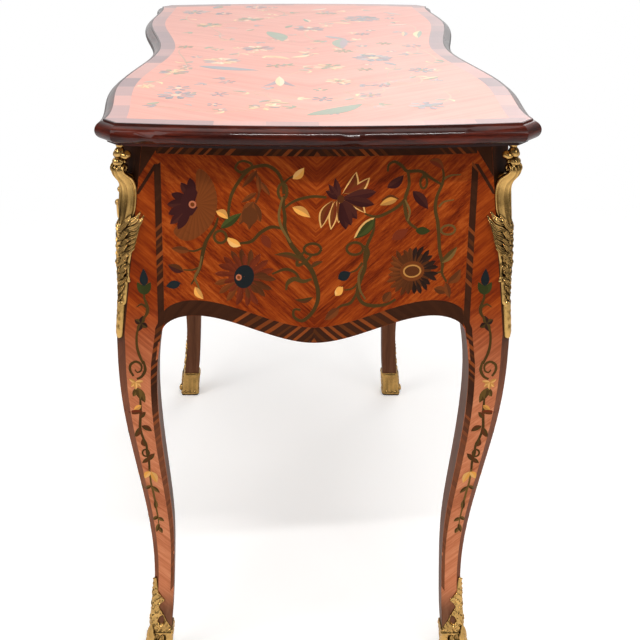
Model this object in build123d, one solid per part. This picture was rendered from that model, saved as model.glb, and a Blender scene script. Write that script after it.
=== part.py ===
from build123d import *
from math import sqrt
import os

# Louis XV style writing desk: serpentine marquetry top, three frieze drawers,
# four cabriole legs with gilt corner mounts and sabots.
# Millimetres. +X along the length, -Y is the drawer side, +Z up, origin on the
# floor under the middle of the desk.

# ---------------------------------------------------------------- top
height = 780.0            # floor to writing surface
top_thick = 27.0          # slab, veneer and edge moulding
veneer = 1.0              # veneer sheet on the slab
top_end_x = 516.0         # bowed end meets the corner cant
top_side_y = 246.0        # serpentine side meets the corner cant
end_bow = 19.0            # rise of the bowed end
cant_x = 20.0             # corner cant along the length
cant_y = 15.0             # corner cant across
notch_in = 58.0           # dip beside the corner, in from the end
notch_dip = 2.5           # how far that dip stands in from the corner
shoulder_share = 0.593    # widest swell of the long side, as a share of the half length
shoulder_out = 5.5        # that swell beyond the corner
waist_in = 28.5           # middle of the long side, in from the corner
band_width = 22.0         # crossbanded border of the top
strip_depth = 14.0        # how far the moulding strip reaches in under the veneer

# edge moulding section, outward from the veneer and down from the top
fillet_out = 2.5          # flat fillet beside the veneer
fillet_drop = 2.2
nose_out = 12.3           # widest point of the nose
nose_drop = 14.5
nose_upper = (0.80, 0.42)  # point on the upper curve: shares of reach and drop
nose_lower = (0.74, 0.72)  # point on the lower curve, towards the lip
lip_in = 1.0              # lower lip, inside the veneer edge
lip_tall = 4.2

# ---------------------------------------------------------------- carcass plan
post = 41.0               # square of the leg post at its top
end_overhang = 40.0       # top beyond the post at the end
side_overhang = 16.0      # top beyond the post at the side
post_cant = 24.0          # cant on the outer corner of the post, at its top
frieze_deep = 243.0       # top of the frieze to the spring, where leg and apron part
flare = 16.0              # outward lean of post and frieze down to the spring
frieze_bow = 15.0         # rise of the bowed end apron
frieze_swell = 6.5        # swell of the long frieze beyond the post
frieze_sink = 27.5        # middle of the long frieze, in from the post
board = 22.0              # thickness of aprons, rails and drawer fronts
partition = 18.0          # thickness of the two inner partitions
knee_half = 220.0         # half width of the middle bay

# ---------------------------------------------------------------- lower outline, from the spring
arch_rise = 26.5          # top of the small arch beside each leg
arch_wide = 45.0          # from the post to the top of that arch
end_drop = 5.5            # middle of the end apron, below the spring
drop_share = 0.25         # lowest point below a side drawer, from the partition to the arch
drop_rise = 6.0
knee_ease = 55.0          # from the partition to the full height of the kneehole
knee_rise = 100.0
knee_mid_rise = 94.0      # middle of the kneehole

# ---------------------------------------------------------------- legs
knee_drop = 40.0          # knee below the spring
ankle_height = 150.0
knee_wide = 51.0
ankle_wide = 27.5
foot_wide = 28.0
ankle_set = 34.0          # how far the ankle stands in from the knee
foot_set = 22.0           # how far the foot stands in from the knee
knee_cant = 11.0
ankle_cant = 6.0
tenon_long = 18.0
tenon_thick = 10.0
tenon_shoulder = 18.0     # apron left above and below a tenon

# ---------------------------------------------------------------- drawers
top_rail = 20.0           # height of the rail above the drawers
side_rise = 46.0          # runner top of the side drawers above the spring
mid_rise = 129.0          # runner top of the middle drawer above the spring
runner = 18.0             # square of runners and kickers
drawer_gap = 0.8          # gap round a drawer front
slide_gap = 0.3           # drawer above its runner
lining = 10.0             # drawer sides and back
bottom_thick = 6.0
bottom_lift = 8.0         # drawer bottom above the lower edge of the sides
groove = 5.0
side_lower = 8.0          # sides stop below the top of the front
back_lower = 13.0         # back stops below the top of the front
lap = 8.0                 # front left in front of the dovetails
back_room = 24.0          # drawer back to the inside of the back apron
tail_pitch = 44.0         # spacing of the dovetails
pin_wide = 10.0
tail_splay = 2.0
stop_wide = 14.0

# ---------------------------------------------------------------- fittings
lock_wide = 48.0
lock_tall = 34.0
lock_deep = 9.0
lock_rim = 2.0            # lock case standing in from the front
key_eye = 3.0             # radius of the round end of the keyhole
key_slot = 2.4            # width of its slot
key_tall = 11.0
key_drop = 24.0           # keyhole below the top of the front
key_pin = 0.8
plate = 1.8               # thickness of escutcheon and rosettes
escutcheon_wide = 30.0
escutcheon_tall = 40.0
oval_share = (0.36, 0.42)  # radii of the escutcheon's oval, as shares of its size
lobe_share = 0.17         # radius of its lobes, as a share of its width
lobe_place = (0.33, 0.22)  # where the side lobes stand
pull_half = 32.0          # half distance between the handle posts
pull_reach = 8.5          # pivot line in front of the drawer face
rosette = 9.5
post_neck = 3.4
post_knob = 4.6
bail_rod = 2.3
bail_drop = 24.0
bolt_radius = 2.0
nut_wide = 4.5
nut_thick = 3.0
pin_radius = 1.6
pin_clear = 0.06
screw_shank = 2.0
screw_head = 4.2
screw_long = 32.0
block = 20.0              # square of the blocks under the top
block_long = 50.0

# ---------------------------------------------------------------- mounts
sabot_wall = 2.2
sabot_low = 56.0          # sabot height on the inner side
sabot_tip = 116.0         # sabot leaf on the outer corner
toe_radius = 8.0          # scroll on the toe
toe_wide = 15.0
leaf_ease = 1.5           # where the leaf begins to rise, in leg widths from the outer corner
mount_tail = 8.0          # tongue of the corner mount below the spring
mount_head = 8.0          # radius of the scroll under the top
mount_head_drop = 32.0    # axis of that scroll below the top of the frieze
mount_head_long = 24.0
# corner mount from tongue to head: share of its height, half width, relief
mount_stations = [
    (0.00, 3.5, 3.0),
    (0.05, 5.0, 4.0),
    (0.18, 8.0, 5.0),
    (0.39, 11.0, 7.0),
    (0.55, 18.0, 9.0),
    (0.64, 17.0, 8.0),
    (0.73, 15.0, 8.0),
    (0.81, 14.0, 10.0),
    (0.87, 14.0, 15.0),
    (0.93, 12.0, 12.0),
    (1.00, 8.0, 8.0),
]

# ---------------------------------------------------------------- worked out
carcass_z = height - top_thick
spring_z = carcass_z - frieze_deep
lean = flare / frieze_deep
notch_x = top_end_x - notch_in
notch_y = top_side_y - notch_dip
shoulder_x = top_end_x * shoulder_share
shoulder_y = top_side_y + shoulder_out
waist_y = top_side_y - waist_in
post_end_x = top_end_x - end_overhang
post_side_y = top_side_y - side_overhang
post_in_x = post_end_x - post
post_in_y = post_side_y - post
apron_in_x = post_end_x - board
end_room = apron_in_x - post_in_x    # between the drawer bay and the end apron
frieze_shoulder = post_side_y + frieze_swell
frieze_waist = post_side_y - frieze_sink
frieze_low = spring_z - end_drop - board
bay_x = knee_half + partition
rail_z = carcass_z - top_rail
side_floor = spring_z + side_rise
mid_floor = spring_z + mid_rise
front_in = post_side_y - board
arch_z = spring_z + arch_rise
knee_height = spring_z - knee_drop
mount_low_z = spring_z - mount_tail
far = 2 * height


def out_at(z):
    """Outward lean of the posts and the frieze at height z."""
    return lean * (carcass_z - z)


def smooth(t):
    """Even rise from 0 to 1 with level ends."""
    return t * t * (3 - 2 * t)


def box(x0, x1, y0, y1, z0, z1):
    """Block between two corners."""
    return Pos((x0 + x1) / 2, (y0 + y1) / 2, (z0 + z1) / 2) * Box(x1 - x0, y1 - y0, z1 - z0)


def sway(p, q):
    """S-curve that is level at both ends."""
    step = (q[0] - p[0]) / 3
    return Bezier(p, (p[0] + step, p[1]), (q[0] - step, q[1]), q)


def mirror_x(shape):
    return shape.mirror(Plane.YZ)


def mirror_y(shape):
    return shape.mirror(Plane.XZ)


def four_corners(shape):
    """A piece of the +X +Y corner and its three mirror images, by corner name."""
    front = mirror_y(shape)
    return {
        "back_right": shape,
        "back_left": mirror_x(shape),
        "front_right": front,
        "front_left": mirror_x(front),
    }


def bounded(runs):
    """Face bounded by the edges of the given lines and arcs."""
    return make_face([edge for run in runs for edge in run.edges()])


def loop_face(quarter):
    """Face bounded by a first-quadrant run of edges and its mirror images."""
    half = quarter + [mirror_x(edge) for edge in quarter]
    return bounded(half + [mirror_y(edge) for edge in half])


# ---------------------------------------------------------------- top
def cant_ends(grow):
    """Both ends of the corner cant when the outline is offset by grow."""
    slope = sqrt(cant_x ** 2 + cant_y ** 2)
    scale = 1 + grow * ((cant_x + cant_y) / slope - 1) * slope / (cant_x * cant_y)
    end = (top_end_x + grow, top_side_y + grow - cant_y * scale)
    side = (top_end_x + grow - cant_x * scale, top_side_y + grow)
    return end, side


def top_end(grow):
    """Half of the bowed end, from its middle to the cant."""
    end, _ = cant_ends(grow)
    radius = (end[1] ** 2 + end_bow ** 2) / (2 * end_bow)
    middle = (end[0] + end_bow, 0)
    return RadiusArc(middle, end, -radius)


def top_side(grow):
    """Half of the serpentine side, from the cant to the waist."""
    _, side = cant_ends(grow)
    notch = (notch_x, notch_y + grow)
    shoulder = (shoulder_x, shoulder_y + grow)
    ear = Bezier(side, ((side[0] + notch_x) / 2, notch[1]), notch)
    return [ear, sway(notch, shoulder), sway(shoulder, (0, waist_y + grow))]


def top_plan(grow):
    """Plan of the top, offset outward by grow."""
    end, side = cant_ends(grow)
    return loop_face([top_end(grow), Line(end, side)] + top_side(grow))


def field_plan():
    """Plan of the marquetry field inside the crossbanding."""
    corner = (top_end_x - band_width, notch_y - band_width)
    radius = (corner[1] ** 2 + end_bow ** 2) / (2 * end_bow)
    end = RadiusArc((corner[0] + end_bow, 0), corner, -radius)
    shoulder = (shoulder_x, shoulder_y - band_width)
    side = [sway(corner, shoulder), sway(shoulder, (0, waist_y - band_width))]
    return loop_face([end] + side)


def slab(plan, low, high):
    """Plan raised from low to high."""
    return Pos(0, 0, low) * extrude(plan, high - low)


def moulding_section():
    """Section of the edge moulding: x outward from the veneer, y up from the top."""
    fillet_edge = (fillet_out, -fillet_drop)
    nose = (nose_out, -nose_drop)
    upper = (nose_out * nose_upper[0], -nose_drop * nose_upper[1])
    lip_top = top_thick - lip_tall
    lower = (nose_out * nose_lower[0], -nose_drop - (lip_top - nose_drop) * nose_lower[1])
    rim = [(-strip_depth, -top_thick), (-strip_depth, -veneer), (0, -veneer), (0, 0)]
    edges = [
        Polyline(*rim, (fillet_out, 0), fillet_edge),
        ThreePointArc(fillet_edge, upper, nose),
        ThreePointArc(nose, lower, (lip_in, -lip_top)),
        Polyline((lip_in, -lip_top), (-lip_in, -lip_top), (-lip_in, -top_thick), rim[0]),
    ]
    return bounded(edges)


def moulding_run(edges, start, outward):
    """Moulding swept along edges; start is the free end of the first one."""
    place = Plane(origin=(start[0], start[1], height), x_dir=(outward[0], outward[1], 0),
                  z_dir=(outward[1], -outward[0], 0))
    return sweep(place * moulding_section(), path=Pos(0, 0, height) * Wire(edges))


def mitre(at, outward, sx, sy):
    """Upright plane through a corner of the top along the mean outward direction."""
    return Plane(origin=(sx * at[0], sy * at[1], 0), z_dir=(-sx * outward[1], sy * outward[0], 0))


def mouldings():
    """Mitred lengths of edge moulding for +X, +Y and the cant between them."""
    end, side = cant_ends(0)
    run = 2 * strip_depth
    half_end = top_end(0)
    half_side = top_side(0)
    along = half_end % 1
    leave = half_side[0] % 0
    cant_out = Vector(cant_y, cant_x).normalized()
    end_out = Vector(along.Y, -along.X)
    side_out = Vector(leave.Y, -leave.X)
    end_mean = tuple(end_out + cant_out)[:2]
    side_mean = tuple(side_out + cant_out)[:2]

    end_tip = Vector(*end) + along * run
    lead = Line(end, tuple(end_tip)[:2])
    half = [half_end, lead]
    path = [mirror_y(edge) for edge in half] + half
    end_run = moulding_run(path, (end_tip.X, -end_tip.Y), (end_out.X, -end_out.Y))
    for sy in (1, -1):
        end_run = split(end_run, bisect_by=mitre(end, end_mean, 1, sy), keep=Keep.BOTTOM)

    side_tip = Vector(*side) - leave * run
    lead = Line(tuple(side_tip)[:2], side)
    half = [lead] + half_side
    path = half + [mirror_x(edge) for edge in half]
    side_run = moulding_run(path, tuple(side_tip)[:2], tuple(side_out)[:2])
    for sx in (1, -1):
        side_run = split(side_run, bisect_by=mitre(side, side_mean, sx, 1), keep=Keep.TOP)

    slope = (Vector(*side) - Vector(*end)).normalized()
    first = Vector(*end) - slope * run
    last = Vector(*side) + slope * run
    cant_path = [Line(tuple(first)[:2], tuple(last)[:2])]
    cant_run = moulding_run(cant_path, tuple(first)[:2], tuple(cant_out)[:2])
    cant_run = split(cant_run, bisect_by=mitre(end, end_mean, 1, 1), keep=Keep.TOP)
    cant_run = split(cant_run, bisect_by=mitre(side, side_mean, 1, 1), keep=Keep.BOTTOM)
    return end_run, side_run, cant_run


# ---------------------------------------------------------------- frieze
def frieze_plan(grow):
    """Outer plan of the frieze, offset outward by grow; the leg posts hide its corners."""
    end = (post_end_x + grow, post_in_y)
    radius = (end[1] ** 2 + frieze_bow ** 2) / (2 * frieze_bow)
    corner = (post_in_x, post_side_y + grow)
    shoulder = (shoulder_x, frieze_shoulder + grow)
    waist = (0, frieze_waist + grow)
    return loop_face([
        RadiusArc((end[0] + frieze_bow, 0), end, -radius),
        Line(end, corner),
        sway(corner, shoulder),
        sway(shoulder, waist),
    ])


def frieze_block(grow):
    """Solid inside the leaning outer faces of the frieze, offset outward by grow."""
    low = Pos(0, 0, frieze_low) * frieze_plan(grow + out_at(frieze_low))
    return loft([low, Pos(0, 0, carcass_z) * frieze_plan(grow)], ruled=True)


def frieze_core():
    """Space inside the frieze boards."""
    return slab(frieze_plan(-board), frieze_low, carcass_z)


def frieze_y(x):
    """Half depth of the frieze at x, at its top."""
    if abs(x) > shoulder_x:
        t = (abs(x) - shoulder_x) / (post_in_x - shoulder_x)
        return frieze_shoulder + (post_side_y - frieze_shoulder) * smooth(t)
    return frieze_waist + (frieze_shoulder - frieze_waist) * smooth(abs(x) / shoulder_x)


def spring_arc(at):
    """Quarter ellipse from the leg up to the arch beside it, for a post face at x = at."""
    return EllipticalCenterArc((at - arch_wide, spring_z), arch_wide, arch_z - spring_z,
                               start_angle=0, arc_size=90)


def apron_cut(curve, at):
    """Face above a mirrored lower outline that springs from x = at."""
    sides = Polyline((at, spring_z), (at, carcass_z), (0, carcass_z))
    half = [sides, spring_arc(at)] + curve
    return bounded(half + [mirror_x(edge) for edge in half])


def long_outline():
    """Elevation of the long sides above their lower edge."""
    arch = (post_in_x - arch_wide, arch_z)
    drop = (bay_x + drop_share * (arch[0] - bay_x), spring_z + drop_rise)
    knee = (knee_half - knee_ease, spring_z + knee_rise)
    curve = [sway(arch, drop), sway(drop, knee), sway(knee, (0, spring_z + knee_mid_rise))]
    return Rot(90, 0, 0) * extrude(apron_cut(curve, post_in_x), far / 2, both=True)


def end_outline():
    """Elevation of the ends above their lower edge."""
    curve = [sway((post_in_y - arch_wide, arch_z), (0, spring_z - end_drop))]
    return Rot(0, 0, 90) * Rot(90, 0, 0) * extrude(apron_cut(curve, post_in_y), far / 2, both=True)


def tenon_z(low):
    """Lower and upper end of a tenon on an apron that starts at low."""
    return low + tenon_shoulder, carcass_z - top_rail - tenon_shoulder


def end_apron(block):
    """Bowed apron of the +X end with a tenon for each post."""
    panel = block & end_outline() & box(apron_in_x, far, -post_in_y, post_in_y, 0, carcass_z)
    low, high = tenon_z(arch_z)
    reach = post_in_y + tenon_long
    middle = apron_in_x + board / 2
    tongue = box(middle - tenon_thick / 2, middle + tenon_thick / 2, -reach, reach, low, high)
    return panel + tongue


def back_apron(ring):
    """Serpentine back panel with a tenon for each post."""
    panel = ring & long_outline() & box(-post_in_x, post_in_x, 0, far, 0, carcass_z)
    low, high = tenon_z(arch_z)
    reach = post_in_x + tenon_long
    middle = post_side_y - board / 2
    tongue = box(post_in_x - board, reach, middle - tenon_thick / 2, middle + tenon_thick / 2, low, high)
    return panel + tongue + mirror_x(tongue)


def front_rails(ring):
    """Rail above the drawers and the three shaped rails below them."""
    front = ring & long_outline() & box(-post_in_x, post_in_x, -far, 0, 0, carcass_z)
    top = front & box(-post_in_x, post_in_x, -far, 0, rail_z, carcass_z)
    right = front & box(bay_x, post_in_x, -far, 0, 0, side_floor)
    middle = front & box(-knee_half, knee_half, -far, 0, 0, mid_floor)
    reach = post_in_x + tenon_long
    tongue = box(post_in_x - board, reach, -front_in - tenon_thick - board / 4, -front_in - board / 4,
                 rail_z, carcass_z)
    return {
        "front_top_rail": top + tongue + mirror_x(tongue),
        "front_rail_right": right,
        "front_rail_left": mirror_x(right),
        "front_rail_middle": middle,
    }


def inner_partition(block, rails, back):
    """Full-depth board beside the kneehole, notched round the top rail and the back."""
    upright = block & long_outline() & box(knee_half, bay_x, -far, far, 0, carcass_z)
    return upright - rails["front_top_rail"] - back


def strips(core, low, high, middle_low, middle_high):
    """Strips beside the partitions and the posts, from front to back, on the +X side."""
    return [
        core & box(bay_x, bay_x + runner, -far, far, low, high),
        core & box(post_in_x - runner, post_in_x, -far, far, low, high),
        core & box(knee_half - runner, knee_half, -far, far, middle_low, middle_high),
    ]


def runners(core):
    """Strips under the drawer sides."""
    right = strips(core, side_floor - runner, side_floor, mid_floor - runner, mid_floor)
    return right + [mirror_x(strip) for strip in right]


def guides():
    """Fences between the posts that keep the side drawers off the end aprons."""
    fence = box(post_in_x, apron_in_x, -post_in_y, post_in_y, side_floor - runner, side_floor + runner)
    return [fence, mirror_x(fence)]


def kickers(core):
    """Strips above the drawers that keep them from tipping."""
    right = strips(core, rail_z, carcass_z, rail_z, carcass_z)
    return right + [mirror_x(strip) for strip in right]


def drawer_rear(x0, x1):
    """Back end of a drawer in the bay from x0 to x1, clear of the shallowest frieze there."""
    middle = min(max(0, x0), x1)
    return min(frieze_y(x0), frieze_y(middle), frieze_y(x1)) - board - back_room


def stops(core):
    """Blocks on the runners behind each drawer."""
    blocks = []
    for x0, x1, floor in ((bay_x, post_in_x, side_floor), (-knee_half, knee_half, mid_floor)):
        rear = drawer_rear(x0, x1) + slide_gap
        for x in (x0, x1 - stop_wide):
            blocks.append(core & box(x, x + stop_wide, rear, far, floor, floor + runner))
    return blocks + [mirror_x(item) for item in blocks[:2]]


def block_places():
    """Centres of the blocks that hold the top: inside the ends and the back."""
    end = apron_in_x - end_room / 2
    side_x = (bay_x + post_in_x) / 2
    back_y = frieze_y(side_x) - board - block / 2
    half = [(end, post_in_y / 2), (end, -post_in_y / 2), (side_x, back_y)]
    return half + [(-x, y) for x, y in half]


def top_blocks(core):
    """Blocks glued inside the frieze, flush with its top."""
    found = []
    for x, y in block_places():
        along_end = abs(x) > post_in_x
        half_x = end_room / 2 if along_end else block_long / 2
        half_y = block_long / 2 if along_end else block
        piece = box(x - half_x, x + half_x, y - half_y, y + half_y, carcass_z - block, carcass_z)
        found.append(piece if along_end else piece & core)
    return found


def top_screws():
    """Screws up through the blocks into the slab."""
    low = carcass_z - block + slide_gap
    shank = Pos(0, 0, low + screw_long / 2) * Cylinder(screw_shank, screw_long)
    head = Pos(0, 0, low + screw_head / 2) * Cylinder(screw_head, screw_head)
    return [Pos(x, y, 0) * (shank + head) for x, y in block_places()]


# ---------------------------------------------------------------- drawers
def pin_slots(end, shoulder, low, high, x0, x1):
    """Dovetail slots between the tails of a drawer side, from its end to the shoulder line."""
    count = max(1, round((high - low) / tail_pitch))
    narrow = pin_wide / 2 - tail_splay
    slots = []
    for k in range(count + 1):
        z = low + (high - low) * k / count
        shape = Polyline((end, z - narrow), (end, z + narrow), (shoulder, z + pin_wide / 2),
                         (shoulder, z - pin_wide / 2), close=True)
        face = Plane(origin=(x0, 0, 0), x_dir=(0, 1, 0), z_dir=(1, 0, 0)) * make_face(shape)
        slots.append(extrude(face, x1 - x0) & box(x0, x1, -far, far, low, high))
    return slots


def drawer_box(x0, x1, floor, ring):
    """Front, sides, back and bottom of a drawer for a bay from x0 to x1."""
    left = x0 + drawer_gap
    right = x1 - drawer_gap
    low = floor + slide_gap
    rear = drawer_rear(x0, x1)
    board_low = low + bottom_lift
    board_top = board_low + bottom_thick
    side_top = rail_z - side_lower
    back_top = rail_z - back_lower

    front = ring & box(left, right, -far, 0, floor + drawer_gap, rail_z - drawer_gap)
    bottom = slab(frieze_plan(groove - board), board_low, board_top)
    bottom = bottom & box(left + lining - groove, right - lining + groove, -far, rear, 0, far)
    sides = []
    for x in (left, right - lining):
        depth = min(frieze_y(x), frieze_y(x + lining))
        end = -(depth - lap)
        side = box(x, x + lining, end, rear, low, side_top)
        front_slots = pin_slots(end, -(depth - board), low, side_top, x, x + lining)
        back_slots = pin_slots(rear, rear - lining, board_top, back_top, x, x + lining)
        for slot in front_slots + back_slots:
            side = side - slot
        sides.append(side - bottom)
    back = box(left, right, rear - lining, rear, board_top, back_top)
    for side in sides:
        front = front - side
        back = back - side
    return front - bottom, sides, back, bottom


def face_place(x, z):
    """Frame on the drawer face at x, z: x along the face, y up, z outward to the front."""
    step = 1.0
    slope = (frieze_y(x + step) - frieze_y(x - step)) / (2 * step)
    along = Vector(1, -slope, 0).normalized()
    at = (x, -(frieze_y(x) + out_at(z)), z)
    return Plane(origin=at, x_dir=along, z_dir=along.cross(Vector(0, 0, 1)))


def through(sketch, place):
    """Sketch on the drawer face, carried right through it both ways."""
    return extrude(place * sketch, 3 * board, both=True)


def key_sketch():
    """Keyhole: a round eye over a slot."""
    return Circle(key_eye) + Pos(0, -key_tall / 2) * Rectangle(key_slot, key_tall)


def cartouche():
    """Outline of the escutcheon: an oval with scrolled lobes."""
    shape = Ellipse(escutcheon_wide * oval_share[0], escutcheon_tall * oval_share[1])
    lobe = escutcheon_wide * lobe_share
    side_x = escutcheon_wide * lobe_place[0]
    side_y = escutcheon_tall * lobe_place[1]
    end_y = escutcheon_tall / 2 - lobe
    for sy in (1, -1):
        for x, y in ((side_x, side_y), (-side_x, side_y), (0, end_y)):
            shape += Pos(x, sy * y) * Circle(lobe)
    return shape


def drawer_lock(x, top):
    """Box lock for the inside of a drawer front, with its pin standing in the keyhole."""
    inside = -(frieze_y(x) - board)
    case = box(x - lock_wide / 2, x + lock_wide / 2, inside - lock_deep, inside + lock_rim,
               top - lock_tall, top)
    hole = Pos(x, inside - lock_deep / 2, top - key_drop) * Rot(90, 0, 0)
    return case - hole * Cylinder(key_eye, lock_deep) + hole * Cylinder(key_pin, lock_deep)


def pull_posts(place, skin):
    """Two rosettes with pierced knobs for the bail, bolted through the front to nuts."""
    posts = []
    inside = board + out_at(place.origin.Z)
    for side in (pull_half, -pull_half):
        rose = through(Pos(side, 0) * Circle(rosette), place) & skin
        stem = Pos(side, 0, pull_reach / 2) * Cylinder(post_neck, pull_reach)
        knob = Pos(side, 0, pull_reach) * Sphere(post_knob)
        bolt = Pos(side, 0, -inside / 2) * Cylinder(bolt_radius, inside + 2 * nut_thick)
        eye = Pos(side, 0, pull_reach) * Rot(0, 90, 0) * Cylinder(pin_radius + pin_clear, 3 * post_knob)
        nut = Pos(side, 0, -inside - nut_thick / 2) * extrude(RegularPolygon(nut_wide, 6), nut_thick / 2)
        posts.append(rose + place.location * (stem + knob + bolt + nut - eye))
    return posts


def bail(place):
    """Drop handle: a rod bent round at both ends, with a pin at each end let into the knobs."""
    reach = pull_half + post_knob + bail_rod + slide_gap
    bend = reach - bail_drop
    path = [
        Line((-reach, bail_rod), (-reach, 0)),
        CenterArc((-bend, 0), bail_drop, start_angle=180, arc_size=90),
        Line((-bend, -bail_drop), (bend, -bail_drop)),
        CenterArc((bend, 0), bail_drop, start_angle=270, arc_size=90),
        Line((reach, 0), (reach, bail_rod)),
    ]
    start = Plane(origin=path[0] @ 0, z_dir=path[0] % 0)
    rod = sweep(start * Circle(bail_rod), path=Wire(path))
    pin_long = reach - pull_half
    for side in (1, -1):
        middle = side * (reach + pull_half) / 2
        rod += Pos(middle, 0, 0) * Rot(0, 90, 0) * Cylinder(pin_radius, pin_long)
    return place.location * Pos(0, 0, pull_reach) * rod


def fitted_drawer(name, x0, x1, floor, ring, skin):
    """A whole drawer with its lock, escutcheon and drop handle, by node name."""
    front, sides, back, bottom = drawer_box(x0, x1, floor, ring)
    top = rail_z - drawer_gap
    x = (x0 + x1) / 2
    key_place = face_place(x, top - key_drop)
    pull_place = face_place(x, (floor + rail_z) / 2)
    key = through(key_sketch(), key_place)
    lock = drawer_lock(x, top)
    shield = (through(cartouche(), key_place) & skin) - key
    posts = pull_posts(pull_place, skin)
    front = front - lock - key
    for piece in posts:
        front = front - piece
    return {
        f"{name}_front": [front],
        f"{name}_sides": sides,
        f"{name}_back": [back],
        f"{name}_bottom": [bottom],
        f"{name}_lock": [lock],
        f"{name}_escutcheon": [shield],
        f"{name}_pull_posts": posts,
        f"{name}_bail": [bail(pull_place)],
    }


def mirrored_drawer(parts, name):
    """The same drawer on the other side of the desk."""
    return {name + key[key.index("_right") + 6:]: [mirror_x(piece) for piece in pieces]
            for key, pieces in parts.items()}


# ---------------------------------------------------------------- legs
def leg_form(z):
    """Outer faces in X and Y, width and corner cant of the leg at height z."""
    x = post_end_x + out_at(max(z, spring_z))
    y = post_side_y + out_at(max(z, spring_z))
    if z >= spring_z:
        t = (z - spring_z) / (carcass_z - spring_z)
        return x, y, x - post_in_x, knee_cant + (post_cant - knee_cant) * t
    if z >= ankle_height:
        t = min(1, (knee_height - z) / (knee_height - ankle_height))
        back = ankle_set * smooth(t)
        wide = knee_wide + (ankle_wide - knee_wide) * t
        return x - back, y - back, wide, knee_cant + (ankle_cant - knee_cant) * t
    t = (1 - z / ankle_height) ** 1.5
    back = ankle_set + (foot_set - ankle_set) * t
    return x - back, y - back, ankle_wide + (foot_wide - ankle_wide) * t, ankle_cant


def leg_section(z, grow):
    """Square section of the +X +Y leg with a canted outer corner, offset by grow."""
    x, y, wide, cant = leg_form(z)
    x += grow
    y += grow
    wide += 2 * grow
    cut = cant + grow / 2
    shape = Polyline((x - wide, y - wide), (x, y - wide), (x, y - cut), (x - cut, y),
                     (x - wide, y), close=True)
    return Pos(0, 0, z) * make_face(shape)


def leg_heights():
    """Heights of the sections from the floor up to the spring of the apron."""
    foot = [ankle_height * k / 3 for k in range(3)]
    shaft = [ankle_height + (knee_height - ankle_height) * k / 5 for k in range(6)]
    return foot + shaft + [spring_z]


def leg():
    """Cabriole leg of the +X +Y corner, in one with its post."""
    shaft = loft([leg_section(z, 0) for z in leg_heights()])
    upright = loft([leg_section(spring_z, 0), leg_section(carcass_z, 0)], ruled=True)
    return shaft + upright


def corner_frame(z):
    """Frame on the cant of the +X +Y leg at height z: x across, y up, z outward."""
    x, y, _, cant = leg_form(z)
    return Plane(origin=(x - cant / 2, y - cant / 2, z), x_dir=(-1, 1, 0), z_dir=(1, 1, 0))


def sabot(wood):
    """Gilt shoe round the foot, drawn up to a leaf on the outer corner."""
    heights = [z for z in leg_heights() if z <= ankle_height]
    shell = loft([leg_section(z, sabot_wall) for z in heights])
    x, y, wide, _ = leg_form(sabot_tip)
    inner = (x + y) / sqrt(2) - 2 * wide
    outer = (x + y) / sqrt(2) + wide
    rise = Bezier((inner, sabot_low), (outer - leaf_ease * wide, sabot_low),
                  (outer - wide, sabot_tip), (outer, sabot_tip))
    side = bounded([rise, Polyline((outer, sabot_tip), (outer, 0), (inner, 0), (inner, sabot_low))])
    keep = extrude(Plane(origin=(0, 0, 0), x_dir=(1, 1, 0), z_dir=(1, -1, 0)) * side, far, both=True)
    toe = corner_frame(toe_radius)
    scroll = toe.location * Rot(0, 90, 0) * Cylinder(toe_radius, toe_wide)
    return (shell & keep) + scroll - wood


def corner_mount(wood):
    """Gilt corner mount: a scroll under the top, a swelling body and a long tongue."""
    span = carcass_z - slide_gap - mount_low_z
    sections = []
    for share, half, relief in mount_stations:
        place = corner_frame(mount_low_z + share * span)
        level = Plane(origin=place.origin, x_dir=place.x_dir, z_dir=(0, 0, 1))
        sections.append(level * Ellipse(half, relief))
    body = loft(sections, ruled=True)
    head = corner_frame(carcass_z - mount_head_drop)
    scroll = Pos(0, 0, mount_head / 3) * Rot(0, 90, 0) * Cylinder(mount_head, mount_head_long)
    return body + head.location * scroll - wood


# ---------------------------------------------------------------- assembly
def top_parts():
    """Slab, veneers and mitred edge mouldings."""
    end_run, side_run, cant_run = mouldings()
    field = field_plan()
    core = slab(top_plan(-strip_depth / 2), carcass_z, height - veneer)
    strips = [end_run, mirror_x(end_run), side_run, mirror_y(side_run)]
    for piece in strips + list(four_corners(cant_run).values()) + top_screws():
        core = core - piece
    return {
        "top_core": [core],
        "top_field_veneer": [slab(field, height - veneer, height)],
        "top_crossbanding": [slab(top_plan(0) - field, height - veneer, height)],
        "moulding_end_right": [end_run],
        "moulding_end_left": [mirror_x(end_run)],
        "moulding_back": [side_run],
        "moulding_front": [mirror_y(side_run)],
        "moulding_corners": list(four_corners(cant_run).values()),
    }


def carcass_parts(block_solid, ring, core):
    """Aprons, rails, partitions and the strips that carry the drawers."""
    right_end = end_apron(block_solid)
    back = back_apron(ring)
    rails = front_rails(ring)
    side = inner_partition(block_solid, rails, back)
    blocks = top_blocks(core)
    for screw in top_screws():
        blocks = [item - screw for item in blocks]
    parts = {name: [solid] for name, solid in rails.items()}
    parts.update({
        "end_apron_right": [right_end],
        "end_apron_left": [mirror_x(right_end)],
        "back_apron": [back],
        "partition_right": [side],
        "partition_left": [mirror_x(side)],
        "drawer_runners": runners(core),
        "drawer_guides": guides(),
        "drawer_kickers": kickers(core),
        "drawer_stops": stops(core),
        "top_blocks": blocks,
        "top_screws": top_screws(),
    })
    return parts


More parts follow.
